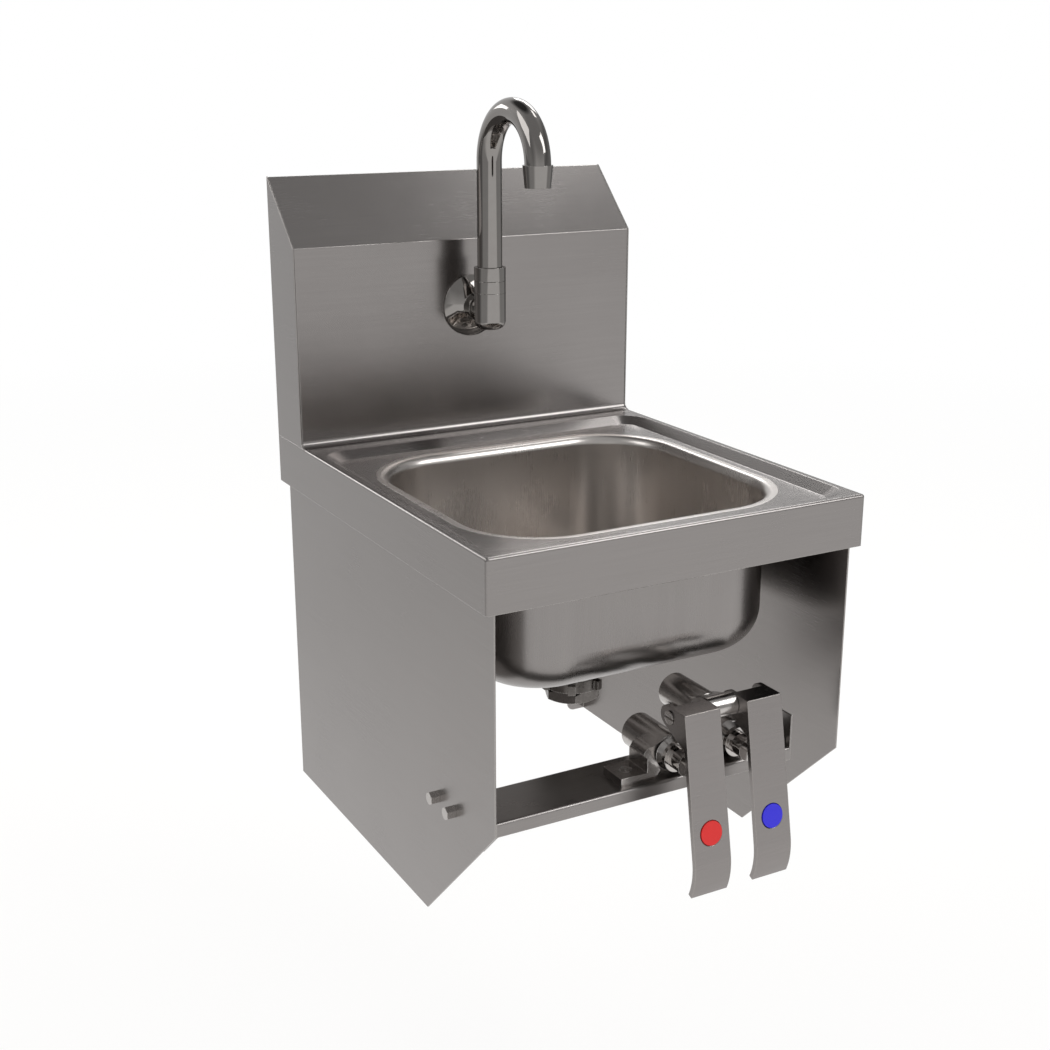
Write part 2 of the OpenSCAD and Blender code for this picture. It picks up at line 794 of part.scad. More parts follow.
module panel_bolts() {
    color("gainsboro") at_deck() hang_frames() {
        translate([-sheet - hang_nut_h, 0, 0]) rod_x(hang_bolt_r, 2 * sheet + hang_nut_h);
        translate([sheet, 0, 0]) hex_x(hang_af, hang_head_h);
    }
}

module panel_nuts() {
    color("gainsboro") at_deck() hang_frames() translate([-sheet - hang_nut_h, 0, 0]) difference() {
        hex_x(hang_af, hang_nut_h);
        translate([-over, 0, 0]) rod_x(hang_bolt_r + fit, hang_nut_h + 2 * over);
    }
}

// Bracket that carries the valve, hung from the left panel: a channel with a flange at each end
module valve_shelf() {
    l = shelf_end_x - shelf_left;
    rear = shelf_bolt_y - shelf_bolt_span - ear_margin;
    color("gray") at_deck() difference() {
        union() {
            translate([shelf_left, shelf_front, -shelf_z]) rotate([90, 0, 90]) linear_extrude(l)
                channel_section();
            translate([shelf_end_x - shelf_t, shelf_front, -shelf_z - shelf_t])
                cube([shelf_t, shelf_d, shelf_t + shelf_end_h]);
            translate([shelf_left, 0, 0]) rotate([90, 0, 90]) linear_extrude(shelf_t) intersection() {
                translate([0, -shelf_z]) polygon([[shelf_front, 0], [shelf_front, -ear_drop],
                    [-rear, -ear_drop], [-rear, -shelf_bolt_drop + ear_margin],
                    [-rear - shelf_bolt_drop + ear_margin, 0]]);
                translate([0, flange_set]) panel_outline();
            }
        }
        shelf_bolt_places() translate([-over, 0, 0]) rod_x(shelf_bolt_r + gap, shelf_t + 2 * over);
        foot_screw_places() translate([0, 0, -shelf_t - over])
            cylinder(r = foot_screw_r + gap, h = shelf_t + 2 * over);
    }
}

// Channel open downwards: x runs back from the front lip, y is the height
module channel_section() {
    translate([shelf_bend_r, -shelf_t]) square([shelf_d - 2 * shelf_bend_r, shelf_t]);
    for (end = [0, 1]) translate([end * shelf_d, 0]) mirror([end, 0]) {
        translate([0, -shelf_lip_h]) square([shelf_t, shelf_lip_h - shelf_bend_r]);
        translate([shelf_bend_r, -shelf_bend_r]) intersection() {
            difference() {
                circle(shelf_bend_r);
                circle(shelf_bend_r - shelf_t);
            }
            translate([-shelf_bend_r, 0]) square(shelf_bend_r);
        }
    }
}

// Two hex bolts from the outer face of the left panel, and their nuts inside
module shelf_bolts() {
    color("gainsboro") at_deck() shelf_bolt_places() {
        translate([-sheet - shelf_bolt_head, 0, 0]) intersection() {
            hex_x(shelf_bolt_af, shelf_bolt_head);
            rotate([0, 90, 0])
                cylinder(r1 = shelf_bolt_af / 2, r2 = shelf_bolt_af / 2 + 2 * shelf_bolt_head,
                    h = shelf_bolt_head);
        }
        translate([-sheet, 0, 0]) rod_x(shelf_bolt_r, sheet + shelf_t + nut_h + 2 * gap);
    }
}

module shelf_nuts() {
    color("gainsboro") at_deck() shelf_bolt_places() translate([shelf_t, 0, 0]) difference() {
        hex_x(shelf_bolt_af, nut_h);
        translate([-over, 0, 0]) rod_x(shelf_bolt_r + fit, nut_h + 2 * over);
    }
}

// Revolves a drain profile about the axis of the waste; heights count from the deck
module drain_turned() {
    at_deck() translate([0, -bowl_y, 0]) rotate_extrude() children();
}

// Strainer body: flange, tapering cup and threaded tail in one casting
module strainer_body() {
    cup_r = drain_hole_r - gap;
    cup_z = bell_z + 2 * cup_wall;
    ledge_r = cup_r - cup_wall - grid_ledge;
    inside_z = cup_z - tail_r + cup_wall / cos(45);
    color("silver") drain_turned() polygon([
        [strainer_r, seat_z], [strainer_r - strainer_t, seat_z + strainer_t],
        [cup_r - cup_wall, seat_z + strainer_t], [cup_r - cup_wall, seat_z - grid_drop],
        [ledge_r, seat_z - grid_drop], [ledge_r, inside_z + ledge_r], [waste_r, inside_z + waste_r],
        [waste_r, tail_z], [tail_r, tail_z], [tail_r, cup_z], [cup_r, cup_z + cup_r - tail_r],
        [cup_r, seat_z]]);
}

// Loose perforated plate on the ledge in the cup
module strainer_grid() {
    r = drain_hole_r - gap - cup_wall - gap;
    color("darkgray") at_deck() translate([0, -bowl_y, seat_z - grid_drop]) difference() {
        cylinder(r = r, h = grid_t);
        for (ring = [1, 2], i = [0:6 * ring - 1]) rotate([0, 0, i * 60 / ring])
            translate([ring * grid_pitch, 0, -over]) cylinder(r = grid_hole_r, h = grid_t + 2 * over);
        translate([0, 0, -over]) cylinder(r = grid_hole_r, h = grid_t + 2 * over);
    }
}

module drain_gasket() {
    color("black") drain_turned() translate([drain_hole_r, seat_z - sheet - gasket_t])
        square([strainer_r - drain_hole_r, gasket_t]);
}

// Spun bell that the locknut pulls up against the gasket
module bell_cup() {
    top = seat_z - sheet - gasket_t;
    wide = strainer_r;
    narrow = drain_hole_r + gap;
    color("silver") drain_turned() polygon([
        [narrow, top], [wide, top], [wide, top - cup_wall],
        [narrow + cup_wall, top - cup_wall], [narrow + cup_wall, bell_z + narrow - tail_r + cup_wall],
        [tail_r + 2 * cup_wall, bell_z], [tail_r + fit, bell_z], [tail_r + fit, bell_z + cup_wall],
        [narrow, bell_z + narrow - tail_r + cup_wall]]);
}

// Cast locknut with lugs for a wrench
module drain_locknut() {
    color("dimgray") at_deck() translate([0, -bowl_y, locknut_z]) difference() {
        union() {
            cylinder(r = tail_r + locknut_wall, h = locknut_h);
            for (i = [0:locknut_lugs - 1]) rotate([0, 0, i * 360 / locknut_lugs])
                translate([0, -locknut_lug_w / 2, 0])
                    cube([tail_r + locknut_wall + locknut_lug, locknut_lug_w, locknut_lug_h]);
        }
        translate([0, 0, -over]) cylinder(r = tail_r + fit, h = locknut_h + 2 * over);
    }
}

module coupling_washer() {
    color("white") drain_turned() translate([waste_r, tail_z - coupling_washer_t])
        square([tail_r - waste_r, coupling_washer_t]);
}

// Hexagonal coupling nut, turned to a cone at both ends of its flats
module coupling_nut() {
    low = tail_z - coupling_washer_t - coupling_lip;
    corner = coupling_af / sqrt(3);
    color("gray") at_deck() translate([0, -bowl_y, low]) difference() {
        intersection() {
            rotate([0, 0, coupling_turn]) cylinder(r = corner, h = coupling_h, $fn = 6);
            cylinder(r1 = coupling_af / 2, r2 = coupling_af / 2 + 2 * coupling_h, h = coupling_h);
            cylinder(r1 = coupling_af / 2 + 2 * coupling_h, r2 = coupling_af / 2, h = coupling_h);
        }
        translate([0, 0, -over]) cylinder(r = waste_r, h = coupling_h + 2 * over);
        translate([0, 0, coupling_lip]) cylinder(r = tail_r + fit, h = coupling_h);
    }
}

// Turned parts of the faucet, with heights from the deck
module faucet_turned() {
    at_deck() translate([0, faucet_y, 0]) rotate_extrude() children();
}

// Faucet body: upright barrel with a threaded neck, and the arm that ends in the shank
module faucet_body() {
    color("gainsboro") difference() {
        union() {
            faucet_turned() {
                translate([0, body_z + faucet_round]) square([faucet_r, ring_z - body_z - faucet_round]);
                translate([0, body_z]) square([faucet_r - faucet_round, faucet_round]);
                translate([faucet_r - faucet_round, body_z + faucet_round]) intersection() {
                    circle(faucet_round);
                    translate([0, -faucet_round]) square(faucet_round);
                }
                translate([0, ring_z]) square([neck_r, neck_top - ring_z]);
            }
            at_deck() translate([0, faucet_y, faucet_z]) {
                rod_y(arm_r, faucet_reach);
                rod_y(shank_r, faucet_reach + shank_l - shank_tail_l);
                rod_y(shank_r - shank_tail_step, faucet_reach + shank_l);
            }
        }
        faucet_turned() {
            translate([0, collar_z - post_l - gap]) square([post_bore_r, post_l + neck_top]);
            translate([0, faucet_z]) square([way_r, neck_top - faucet_z]);
        }
        at_deck() translate([0, faucet_y, faucet_z])
            rod_y(way_r, faucet_reach + shank_l + over);
    }
}

module trim_ring() {
    color("gainsboro") faucet_turned() translate([neck_r + fit, ring_z])
        square([faucet_r - neck_r - fit, ring_h]);
}

module packing_nut() {
    top = packing_z + packing_h;
    color("gainsboro") faucet_turned() {
        translate([neck_r + fit, packing_z]) square([faucet_r - neck_r - fit, packing_h - packing_lip]);
        translate([spout_r + run, top - packing_lip])
            square([faucet_r - spout_r - run, packing_lip]);
    }
}

// Domed plate round the arm: a shallow cap with an upright hub
module escutcheon() {
    rise = plate_dome - plate_edge;
    across = (escutcheon_r * escutcheon_r - plate_hub_r * plate_hub_r + rise * rise) / (2 * rise);
    dome_r = sqrt(across * across + plate_hub_r * plate_hub_r);
    low = plate_dome - across;
    color("gainsboro") at_deck() translate([0, -splash_d, faucet_z]) turned_y() {
        intersection() {
            difference() {
                translate([0, low]) circle(dome_r);
                translate([0, low]) circle(dome_r - plate_wall);
            }
            translate([arm_r + fit, 0]) square([escutcheon_r - arm_r - fit, plate_dome]);
        }
        translate([escutcheon_r - plate_wall, 0]) square([plate_wall, plate_edge]);
        translate([arm_r + fit, plate_dome - plate_wall])
            square([plate_hub_r - arm_r - fit, escutcheon_h - plate_dome + plate_wall]);
    }
}

// Ring on the shank behind the backsplash, from the given place towards the wall
module shank_ring(start, r, t) {
    at_deck() translate([0, -splash_d + sheet + start, faucet_z]) difference() {
        rod_y(r, t);
        translate([0, -over, 0]) rod_y(shank_r + fit, t + 2 * over);
    }
}

module shank_seal() {
    color("black") shank_ring(0, shank_seal_r, shank_seal_t);
}

module shank_washer() {
    color("silver") shank_ring(shank_seal_t, shank_seal_r, shank_washer_t);
}

module shank_locknut() {
    start = shank_seal_t + shank_washer_t;
    color("goldenrod") at_deck() translate([0, -splash_d + sheet + start, faucet_z]) difference() {
        hex_y(shank_nut_af, shank_nut_h);
        translate([0, -over, 0]) rod_y(shank_r + fit, shank_nut_h + 2 * over);
    }
}

// Swivel spout: post, collar and bent tube
module spout() {
    tube_in = spout_r - spout_wall;
    tube_end = outlet_z + aerator_h - tube_in_aerator;
    color("gainsboro") {
        faucet_turned() difference() {
            polygon([[way_r, collar_z - post_l], [post_r, collar_z - post_l], [post_r, collar_z],
                [collar_r, collar_z], [collar_r, collar_z + collar_h], [spout_r, collar_z + collar_h],
                [spout_r, arch_z], [tube_in, arch_z], [tube_in, collar_z + collar_h + spout_wall],
                [way_r, collar_z + collar_h + spout_wall]]);
            for (z = post_ring_heights) translate([post_ring_in, z - post_ring_t - fit])
                square([post_r, 2 * (post_ring_t + fit)]);
        }
        at_deck() translate([0, faucet_y - arch_r, arch_z]) rotate([90, 0, 90])
            rotate_extrude(angle = 180) translate([arch_r, 0]) tube_section();
        at_deck() translate([0, outlet_y, tube_end]) linear_extrude(arch_z - tube_end) tube_section();
    }
}

module tube_section() {
    difference() {
        circle(spout_r);
        circle(spout_r - spout_wall);
    }
}

module spout_orings() {
    color("black") faucet_turned() for (z = post_ring_heights)
        translate([post_r + fit - post_ring_t, z]) circle(post_ring_t);
}

// Turned parts of the aerator, with heights from its outlet
module aerator_turned() {
    at_deck() translate([0, outlet_y, outlet_z]) rotate_extrude() children();
}

module aerator_housing() {
    cavity = aerator_low_r - aerator_wall;
    step = aerator_h - tube_in_aerator;
    color("gainsboro") aerator_turned() polygon([[cavity - aerator_lip_w, 0], [aerator_low_r, 0],
        [aerator_top_r, aerator_h], [spout_r + fit, aerator_h], [spout_r + fit, step], [cavity, step],
        [cavity, aerator_lip], [cavity - aerator_lip_w, aerator_lip]]);
}

// Insert that breaks the stream into jets
module aerator_insert() {
    h = aerator_h - tube_in_aerator - aerator_washer_t - aerator_lip;
    color("white") at_deck() translate([0, outlet_y, outlet_z + aerator_lip]) difference() {
        cylinder(r = aerator_low_r - aerator_wall - fit, h = h);
        translate([0, 0, -over]) cylinder(r = jet_r, h = h + 2 * over);
        for (ring = [1, 2], i = [0:6 * ring - 1]) rotate([0, 0, i * 60 / ring])
            translate([ring * jet_pitch, 0, -over]) cylinder(r = jet_r, h = h + 2 * over);
    }
}

module aerator_washer() {
    outside = aerator_low_r - aerator_wall - fit;
    inside = spout_r - spout_wall - aerator_washer_w;
    color("black") aerator_turned()
        translate([inside, aerator_h - tube_in_aerator - aerator_washer_t])
            square([outside - inside, aerator_washer_t]);
}

// Centre of the left (-1) or right (1) chamber and lever, with y and z from the deck
module at_lever(side) {
    at_deck() translate([valve_x + side * lever_pitch / 2, 0, 0]) children();
}

// Places of the two screws that hold the feet to the shelf
module foot_screw_places() {
    for (side = [-1, 1])
        translate([valve_x + side * (foot_span - foot_w) / 2, foot_y, -shelf_z]) children();
}

// Casting of the valve: two chambers, the passage between them, the outlet barrel, feet and hub
module valve_body() {
    color("dimgray") difference() {
        union() {
            for (side = [-1, 1]) {
                at_lever(side) translate([0, -chamber_back, chamber_z]) turned_y() chamber_outline();
                valve_foot(side);
            }
            at_deck() {
                translate([valve_x - lever_pitch / 2, cross_y, chamber_z]) rod_x(manifold_r, lever_pitch);
                translate([valve_x, cross_y, chamber_z]) cylinder(r = riser_r, h = outlet_rise);
                translate([valve_x, -barrel_back, barrel_z]) turned_y() barrel_outline();
                pivot_lug();
            }
        }
        for (side = [-1, 1]) at_lever(side) translate([0, -chamber_back, chamber_z]) turned_y()
            chamber_bores();
        at_deck() {
            translate([valve_x - lever_pitch / 2, cross_y, chamber_z]) rod_x(passage_r, lever_pitch);
            translate([valve_x, cross_y, chamber_z]) cylinder(r = passage_r, h = outlet_rise);
            translate([valve_x, -barrel_back, barrel_z]) turned_y() {
                translate([0, -over]) square([port_r, port_l + over]);
                square([way_r, -barrel_back - cross_y + way_r]);
            }
            translate([valve_x - hub_l / 2 - over, -pivot_y, pivot_z])
                rod_x(pivot_r + fit, hub_l + 2 * over);
            foot_screw_places() rotate_extrude() polygon([[0, -over], [foot_screw_r + gap, -over],
                [foot_screw_r + gap, foot_t - foot_head_r + foot_screw_r], [foot_head_r + gap, foot_t],
                [foot_head_r + gap, foot_t + over], [0, foot_t + over]]);
        }
    }
}

module barrel_outline() {
    polygon([[0, 0], [barrel_r - cast_chamfer, 0], [barrel_r, cast_chamfer],
        [barrel_r, barrel_l - cast_chamfer], [barrel_r - cast_chamfer, barrel_l], [0, barrel_l]]);
}

module chamber_outline() {
    mouth = chamber_l + neck_gap - bonnet_seal_t;
    polygon([[0, 0], [chamber_r - cast_chamfer, 0], [chamber_r, cast_chamfer], [chamber_r, chamber_l],
        [mouth_r, mouth], [0, mouth]]);
}

// Port, retainer pocket, spring chamber, seat, mixing space and bonnet thread, in that order
module chamber_bores() {
    seat = port_l + spring_room;
    thread = chamber_l + neck_gap - bonnet_thread - gap;
    polygon([[0, -over], [port_r, -over], [port_r, port_l], [retainer_r + fit, port_l],
        [retainer_r + fit, port_l + retainer_t], [bore_r, port_l + retainer_t], [bore_r, seat],
        [seat_r, seat], [seat_r, seat + seat_t], [mix_r, seat + seat_t], [mix_r, thread],
        [bonnet_r, thread], [bonnet_r, chamber_l + neck_gap + over], [0, chamber_l + neck_gap + over]]);
}

// Foot with the shoulder that rises to its chamber, and the cut-away web in front
module valve_foot(side) {
    reach = (foot_span - lever_pitch) / 2;
    at_deck() translate([valve_x + side * foot_span / 2, foot_y + foot_d / 2, -shelf_z])
        mirror([side > 0 ? 1 : 0, 0, 0]) rotate([90, 0, 0]) {
            linear_extrude(foot_d) square([foot_w, foot_t]);
            linear_extrude(foot_d) difference() {
                union() {
                    translate([foot_w, 0]) square([web_foot, foot_t]);
                    translate([foot_w, 0])
                        polygon([[0, 0], [0, web_rise], [web_reach, foot_t], [web_foot, 0]]);
                }
                translate([reach, web_rise + chamber_rise]) circle(web_cut_r);
            }
            linear_extrude(foot_d - shoulder_set) {
                translate([foot_w, 0]) square([reach - foot_w, chamber_rise]);
                translate([foot_w + shoulder_r, chamber_rise]) circle(shoulder_r);
                polygon([[foot_w + shoulder_r, 0], [foot_w + shoulder_r, chamber_rise + shoulder_r],
                    [reach, chamber_rise + chamber_r], [reach, 0]]);
            }
        }
}

// Web and hub that carry the pivot pin between the two levers
module pivot_lug() {
    back = -(barrel_back + barrel_l - barrel_r);
    inside = hub_r - lug_set;
    translate([valve_x - lug_w / 2, 0, 0]) rotate([90, 0, 90]) linear_extrude(lug_w)
        polygon([[back, barrel_z - inside], [back, barrel_z + inside], [-pivot_y, pivot_z + inside],
            [-pivot_y - inside * cos(45), pivot_z - inside * sin(45)]]);
    translate([valve_x - hub_l / 2, -pivot_y, pivot_z]) rod_x(hub_r, hub_l);
}

// Countersunk screws through the feet and the shelf
module foot_screws() {
    cone_h = foot_head_r - foot_screw_r;
    l = foot_t + shelf_t + nut_h + 2 * gap;
    color("gainsboro") at_deck() foot_screw_places() difference() {
        union() {
            translate([0, 0, foot_t - l]) cylinder(r = foot_screw_r, h = l);
            translate([0, 0, foot_t - cone_h]) cylinder(r1 = foot_screw_r, r2 = foot_head_r, h = cone_h);
        }
        translate([-foot_head_r - over, -pin_slot_w / 2, foot_t - pin_slot_h])
            cube([2 * (foot_head_r + over), pin_slot_w, pin_slot_h + over]);
    }
}

module foot_nuts() {
    color("gainsboro") at_deck() foot_screw_places() translate([0, 0, -shelf_t - nut_h]) difference() {
        cylinder(r = shelf_bolt_af / sqrt(3), h = nut_h, $fn = 6);
        translate([0, 0, -over]) cylinder(r = foot_screw_r + fit, h = nut_h + 2 * over);
    }
}

// Pin through both levers and the hub, slotted at the left and grooved for the clip at the right
module pivot_pin() {
    outer = (lever_pitch + lever_w) / 2;
    color("gainsboro") at_deck() translate([valve_x - outer - gap, -pivot_y, pivot_z]) difference() {
        union() {
            translate([-pin_head_h, 0, 0]) rod_x(pin_head_r, pin_head_h);
            rod_x(pivot_r, 2 * (outer + gap) + clip_t + pin_end);
        }
        translate([-pin_head_h - over, -pin_head_r - over, -pin_slot_w / 2])
            cube([pin_slot_h + over, 2 * (pin_head_r + over), pin_slot_w]);
        translate([2 * (outer + gap), 0, 0]) difference() {
            rod_x(pivot_r + over, clip_t);
            rod_x(pivot_r - clip_groove, clip_t);
        }
    }
}

// Open clip in the groove of the pin
module pivot_clip() {
    outer = (lever_pitch + lever_w) / 2;
    color("gainsboro") at_deck() translate([valve_x + outer + gap, -pivot_y, pivot_z]) difference() {
        rod_x(clip_r, clip_t);
        translate([-over, 0, 0]) rod_x(pivot_r - clip_groove + fit, clip_t + 2 * over);
        translate([-over, -pivot_r + clip_groove, -clip_r - over])
            cube([clip_t + 2 * over, 2 * (pivot_r - clip_groove), clip_r + over]);
    }
}

// Bonnet screwed into the mouth of a chamber, bored for the stem and its ring
module bonnet(side) {
    front = -bonnet_front;
    rim = -rim_y;
    ring_r = stem_r + run + 2 * stem_ring_t + fit;
    color("gainsboro") at_lever(side) translate([0, 0, chamber_z]) turned_y() difference() {
        union() {
            translate([0, rim - bonnet_thread]) square([bonnet_r - fit, bonnet_thread]);
            translate([0, rim]) square([rim_r, rim_t]);
            translate([0, rim]) square([bonnet_barrel_r, bonnet_l]);
            translate([0, front - front_ring_t]) square([front_ring_r, front_ring_t]);
        }
        translate([0, rim - bonnet_thread - over])
            square([stem_r + run, bonnet_thread + bonnet_l + 2 * over]);
        translate([0, front - stem_ring_in - stem_ring_t - fit])
            square([ring_r, 2 * (stem_ring_t + fit)]);
    }
}

module hot_bonnet() {
    bonnet(-1);
}

module cold_bonnet() {
    bonnet(1);
}

module bonnet_seals() {
    color("black") for (side = [-1, 1]) at_lever(side) translate([0, rim_y, chamber_z]) difference() {
        rod_y(bonnet_seal_r, bonnet_seal_t);
        translate([0, -over, 0]) rod_y(bonnet_r + fit, bonnet_seal_t + 2 * over);
    }
}

module stem_orings() {
    color("black") for (side = [-1, 1]) at_lever(side)
        translate([0, bonnet_front + stem_ring_in, chamber_z]) turned_y()
            translate([stem_r + run + stem_ring_t, 0]) circle(stem_ring_t);
}

// Perforated discs that the springs push against
module spring_retainers() {
    color("silver") for (side = [-1, 1]) at_lever(side) translate([0, retainer_y, chamber_z]) difference() {
        rod_y(retainer_r, retainer_t);
        for (i = [0:5]) rotate([0, i * 60, 0]) translate([retainer_pitch, -over, 0])
            rod_y(retainer_hole_r, retainer_t + 2 * over);
    }
}

// Stem with its domed tip, the poppet and the boss that centres the spring
module stem(side) {
    tip = -stem_tip;
    back = -(seat_back + seat_washer_t);
    color("silver") at_lever(side) translate([0, 0, chamber_z]) turned_y() {
        intersection() {
            translate([0, tip - stem_r]) circle(stem_r);
            translate([0, tip - stem_r]) square(stem_r);
        }
        translate([0, back]) square([stem_r, tip - stem_r - back]);
        translate([0, back - poppet_t]) square([poppet_r, poppet_t]);
        translate([0, back - poppet_t - boss_h]) square([boss_r, boss_h]);
    }
}

module hot_stem() {
    stem(-1);
}

module cold_stem() {
    stem(1);
}

module seat_washer(side) {
    color("black") at_lever(side) translate([0, seat_back, chamber_z]) difference() {
        rod_y(poppet_r, seat_washer_t);
        translate([0, -over, 0]) rod_y(stem_r + fit, seat_washer_t + 2 * over);
    }
}

module hot_seat_washer() {
    seat_washer(-1);
}

module cold_seat_washer() {
    seat_washer(1);
}

// Middle of the spring wire at a share t of its length, from the poppet to the retainer
function spring_point(t) = [spring_r * cos(360 * spring_curls * t),
    spring_front + wire_r + (spring_l - 2 * wire_r) * t, spring_r * sin(360 * spring_curls * t)];

// Ring of the wire section at a share t, square to the curl
function spring_ring(t) = let (turn = 360 * spring_curls * t, c = spring_point(t),
    pitch = (spring_l - 2 * wire_r) / spring_curls, lead = atan2(pitch, 2 * PI * spring_r))
    [for (i = [0:spring_sides - 1])
        let (a = 360 * i / spring_sides, u = wire_r * cos(a), v = wire_r * sin(a))
        c + [u * cos(turn) + v * sin(lead) * sin(turn), v * cos(lead),
            u * sin(turn) - v * sin(lead) * cos(turn)]];

// Closed tube through a row of rings with the same number of points
module tube_through(rings) {
    n = len(rings[0]);
    last = len(rings) - 1;
    points = [for (ring = rings, p = ring) p];
    quads = [for (k = [0:last - 1], i = [0:n - 1]) let (j = (i + 1) % n) [k * n + i, k * n + j,
        (k + 1) * n + j, (k + 1) * n + i]];
    sides = [for (q = quads, half = [0, 1]) half == 0 ? [q[0], q[1], q[2]] : [q[0], q[2], q[3]]];
    ends = [for (i = [1:n - 2], end = [0, 1])
        end == 0 ? [0, i + 1, i] : [last * n, last * n + i, last * n + i + 1]];
    polyhedron(points, concat(sides, ends));
}

module spring(side) {
    steps = 8 * spring_curls;
    color("silver") at_lever(side) translate([0, 0, chamber_z])
        tube_through([for (k = [0:steps]) spring_ring(k / steps)]);
}

module hot_spring() {
    spring(-1);
}

module cold_spring() {
    spring(1);
}

// Least gap between neighbouring curls
echo(spring_gap = (spring_l - 2 * wire_r) / spring_curls * cos(atan2((spring_l - 2 * wire_r) / spring_curls,
    2 * PI * spring_r)) - 2 * wire_r);

// Side view of a lever at its pivot: x runs away from the front, y is the height
module lever_side_view() {
    foot = [lever_face_y - lever_l * sin(lever_lean), head_top - lever_l * cos(lever_lean)];
    across = [cos(lever_lean), -sin(lever_lean)];
    middle = foot + (curl_r + lever_t) * across;
    polygon([[lever_face_y, head_top], foot, foot + lever_t * across,
        [lever_face_y + lever_t / cos(lever_lean), head_top]]);
    translate(middle) rotate([0, 0, 180 - lever_lean]) intersection() {
        difference() {
            circle(curl_r + lever_t);
            circle(curl_r);
        }
        polygon([[0, 0], [2 * (curl_r + lever_t), 0],
            2 * (curl_r + lever_t) * [cos(curl_angle), sin(curl_angle)]]);
    }
}

// Side view of an ear: round end behind the pivot, running out on the back of the plate
module ear_view() {
    low = [lever_face_y - ear_l * lean_tan + lever_t / cos(lever_lean), head_top - ear_l];
    end = [ear_back - pivot_y, pivot_z];
    reach = end - low;
    angle = atan2(reach[1], reach[0]) - asin(ear_r / norm(reach));
    length = sqrt(reach * reach - ear_r * ear_r);
    difference() {
        union() {
            translate(end) circle(ear_r);
            polygon([[lever_face_y, head_top], [end[0], head_top], end,
                low + length * [cos(angle), sin(angle)], low, low - [lever_t / 2, 0]]);
        }
        translate([-pivot_y, pivot_z]) circle(pivot_r + run);
    }
}

// Lever: bent plate with two ears, a closed head and a pocket for the index disc
module lever(side) {
    reach = lever_l + curl_r + lever_t + ear_r;
    color("silver") at_lever(side) difference() {
        union() {
            intersection() {
                rotate([90, 0, 90]) translate([0, 0, -lever_foot_w / 2]) linear_extrude(lever_foot_w)
                    lever_side_view();
                translate([0, -pivot_y, head_top]) rotate([90, 0, 0]) linear_extrude(reach)
                    polygon([[-lever_w / 2, 0], [lever_w / 2, 0], [lever_w / 2, -ear_l],
                        [lever_foot_w / 2, -reach], [-lever_foot_w / 2, -reach], [-lever_w / 2, -ear_l]]);
            }
            translate([-lever_w / 2, lever_face_y, head_top - lever_t])
                cube([lever_w, lever_front, lever_t]);
            for (end = [0, 1]) translate([end * (lever_w - lever_t) - lever_w / 2, 0, 0])
                rotate([90, 0, 90]) linear_extrude(lever_t) ear_view();
        }
        on_lever_face() rotate_extrude() polygon([[0, -disc_pocket], [disc_r + fit, -disc_pocket],
            [disc_r + fit, -disc_bevel], [disc_r + fit + disc_bevel, 0], [disc_r + fit + disc_bevel, over],
            [0, over]]);
    }
}

// Puts its children on the face of the plate at the index disc, with z out of the face
module on_lever_face() {
    down = lever_l - disc_up;
    translate([0, lever_face_y - down * sin(lever_lean), head_top - down * cos(lever_lean)])
        rotate([90 - lever_lean, 0, 0]) children();
}

module hot_lever() {
    lever(-1);
}

module cold_lever() {
    lever(1);
}

module index_disc(side) {
    at_lever(side) on_lever_face() translate([0, 0, -disc_pocket])
        cylinder(r = disc_r, h = disc_pocket + disc_proud);
}

module hot_index() {
    color("red") index_disc(-1);
}

module cold_index() {
    color("blue") index_disc(1);
}

deck();
backsplash();
left_end_cap();
right_end_cap();
bowl();
wall_bracket();
left_side_panel();
right_side_panel();
panel_bolts();
panel_nuts();
valve_shelf();
shelf_bolts();
shelf_nuts();
strainer_body();
strainer_grid();
drain_gasket();
bell_cup();
drain_locknut();
coupling_washer();
coupling_nut();
faucet_body();
trim_ring();
packing_nut();
escutcheon();
shank_seal();
shank_washer();
shank_locknut();
spout();
spout_orings();
aerator_housing();
aerator_insert();
aerator_washer();
valve_body();
foot_screws();
foot_nuts();
pivot_pin();
pivot_clip();
hot_bonnet();
cold_bonnet();
bonnet_seals();
stem_orings();
spring_retainers();
hot_stem();
cold_stem();
hot_seat_washer();
cold_seat_washer();
hot_spring();
cold_spring();
hot_lever();
cold_lever();
hot_index();
cold_index();
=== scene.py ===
# Wall hung hand wash sink with a knee valve: finishes, broken edges, springs, light and camera

import math

import bpy
from mathutils import Matrix, Vector


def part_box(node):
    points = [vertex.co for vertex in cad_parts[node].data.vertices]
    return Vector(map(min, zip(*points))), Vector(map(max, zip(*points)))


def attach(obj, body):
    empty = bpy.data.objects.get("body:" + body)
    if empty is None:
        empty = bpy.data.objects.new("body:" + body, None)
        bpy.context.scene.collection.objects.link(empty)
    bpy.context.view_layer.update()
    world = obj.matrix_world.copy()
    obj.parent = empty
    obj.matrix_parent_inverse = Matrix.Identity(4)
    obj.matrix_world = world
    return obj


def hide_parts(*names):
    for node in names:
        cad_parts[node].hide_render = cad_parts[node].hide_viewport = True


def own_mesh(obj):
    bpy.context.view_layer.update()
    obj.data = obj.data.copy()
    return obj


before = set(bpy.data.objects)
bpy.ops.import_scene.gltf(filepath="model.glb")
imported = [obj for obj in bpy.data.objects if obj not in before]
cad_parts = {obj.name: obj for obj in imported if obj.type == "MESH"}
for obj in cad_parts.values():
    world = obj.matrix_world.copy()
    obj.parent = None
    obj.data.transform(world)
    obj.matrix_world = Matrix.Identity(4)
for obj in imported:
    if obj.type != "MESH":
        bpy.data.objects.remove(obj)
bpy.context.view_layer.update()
scene = bpy.context.scene
mm = 0.001
noiseLow, noiseHigh = 0.3, 0.7  # a noise pattern keeps nearly all its values between these
sideTurn = 0.6  # a normal this far along X belongs to a side
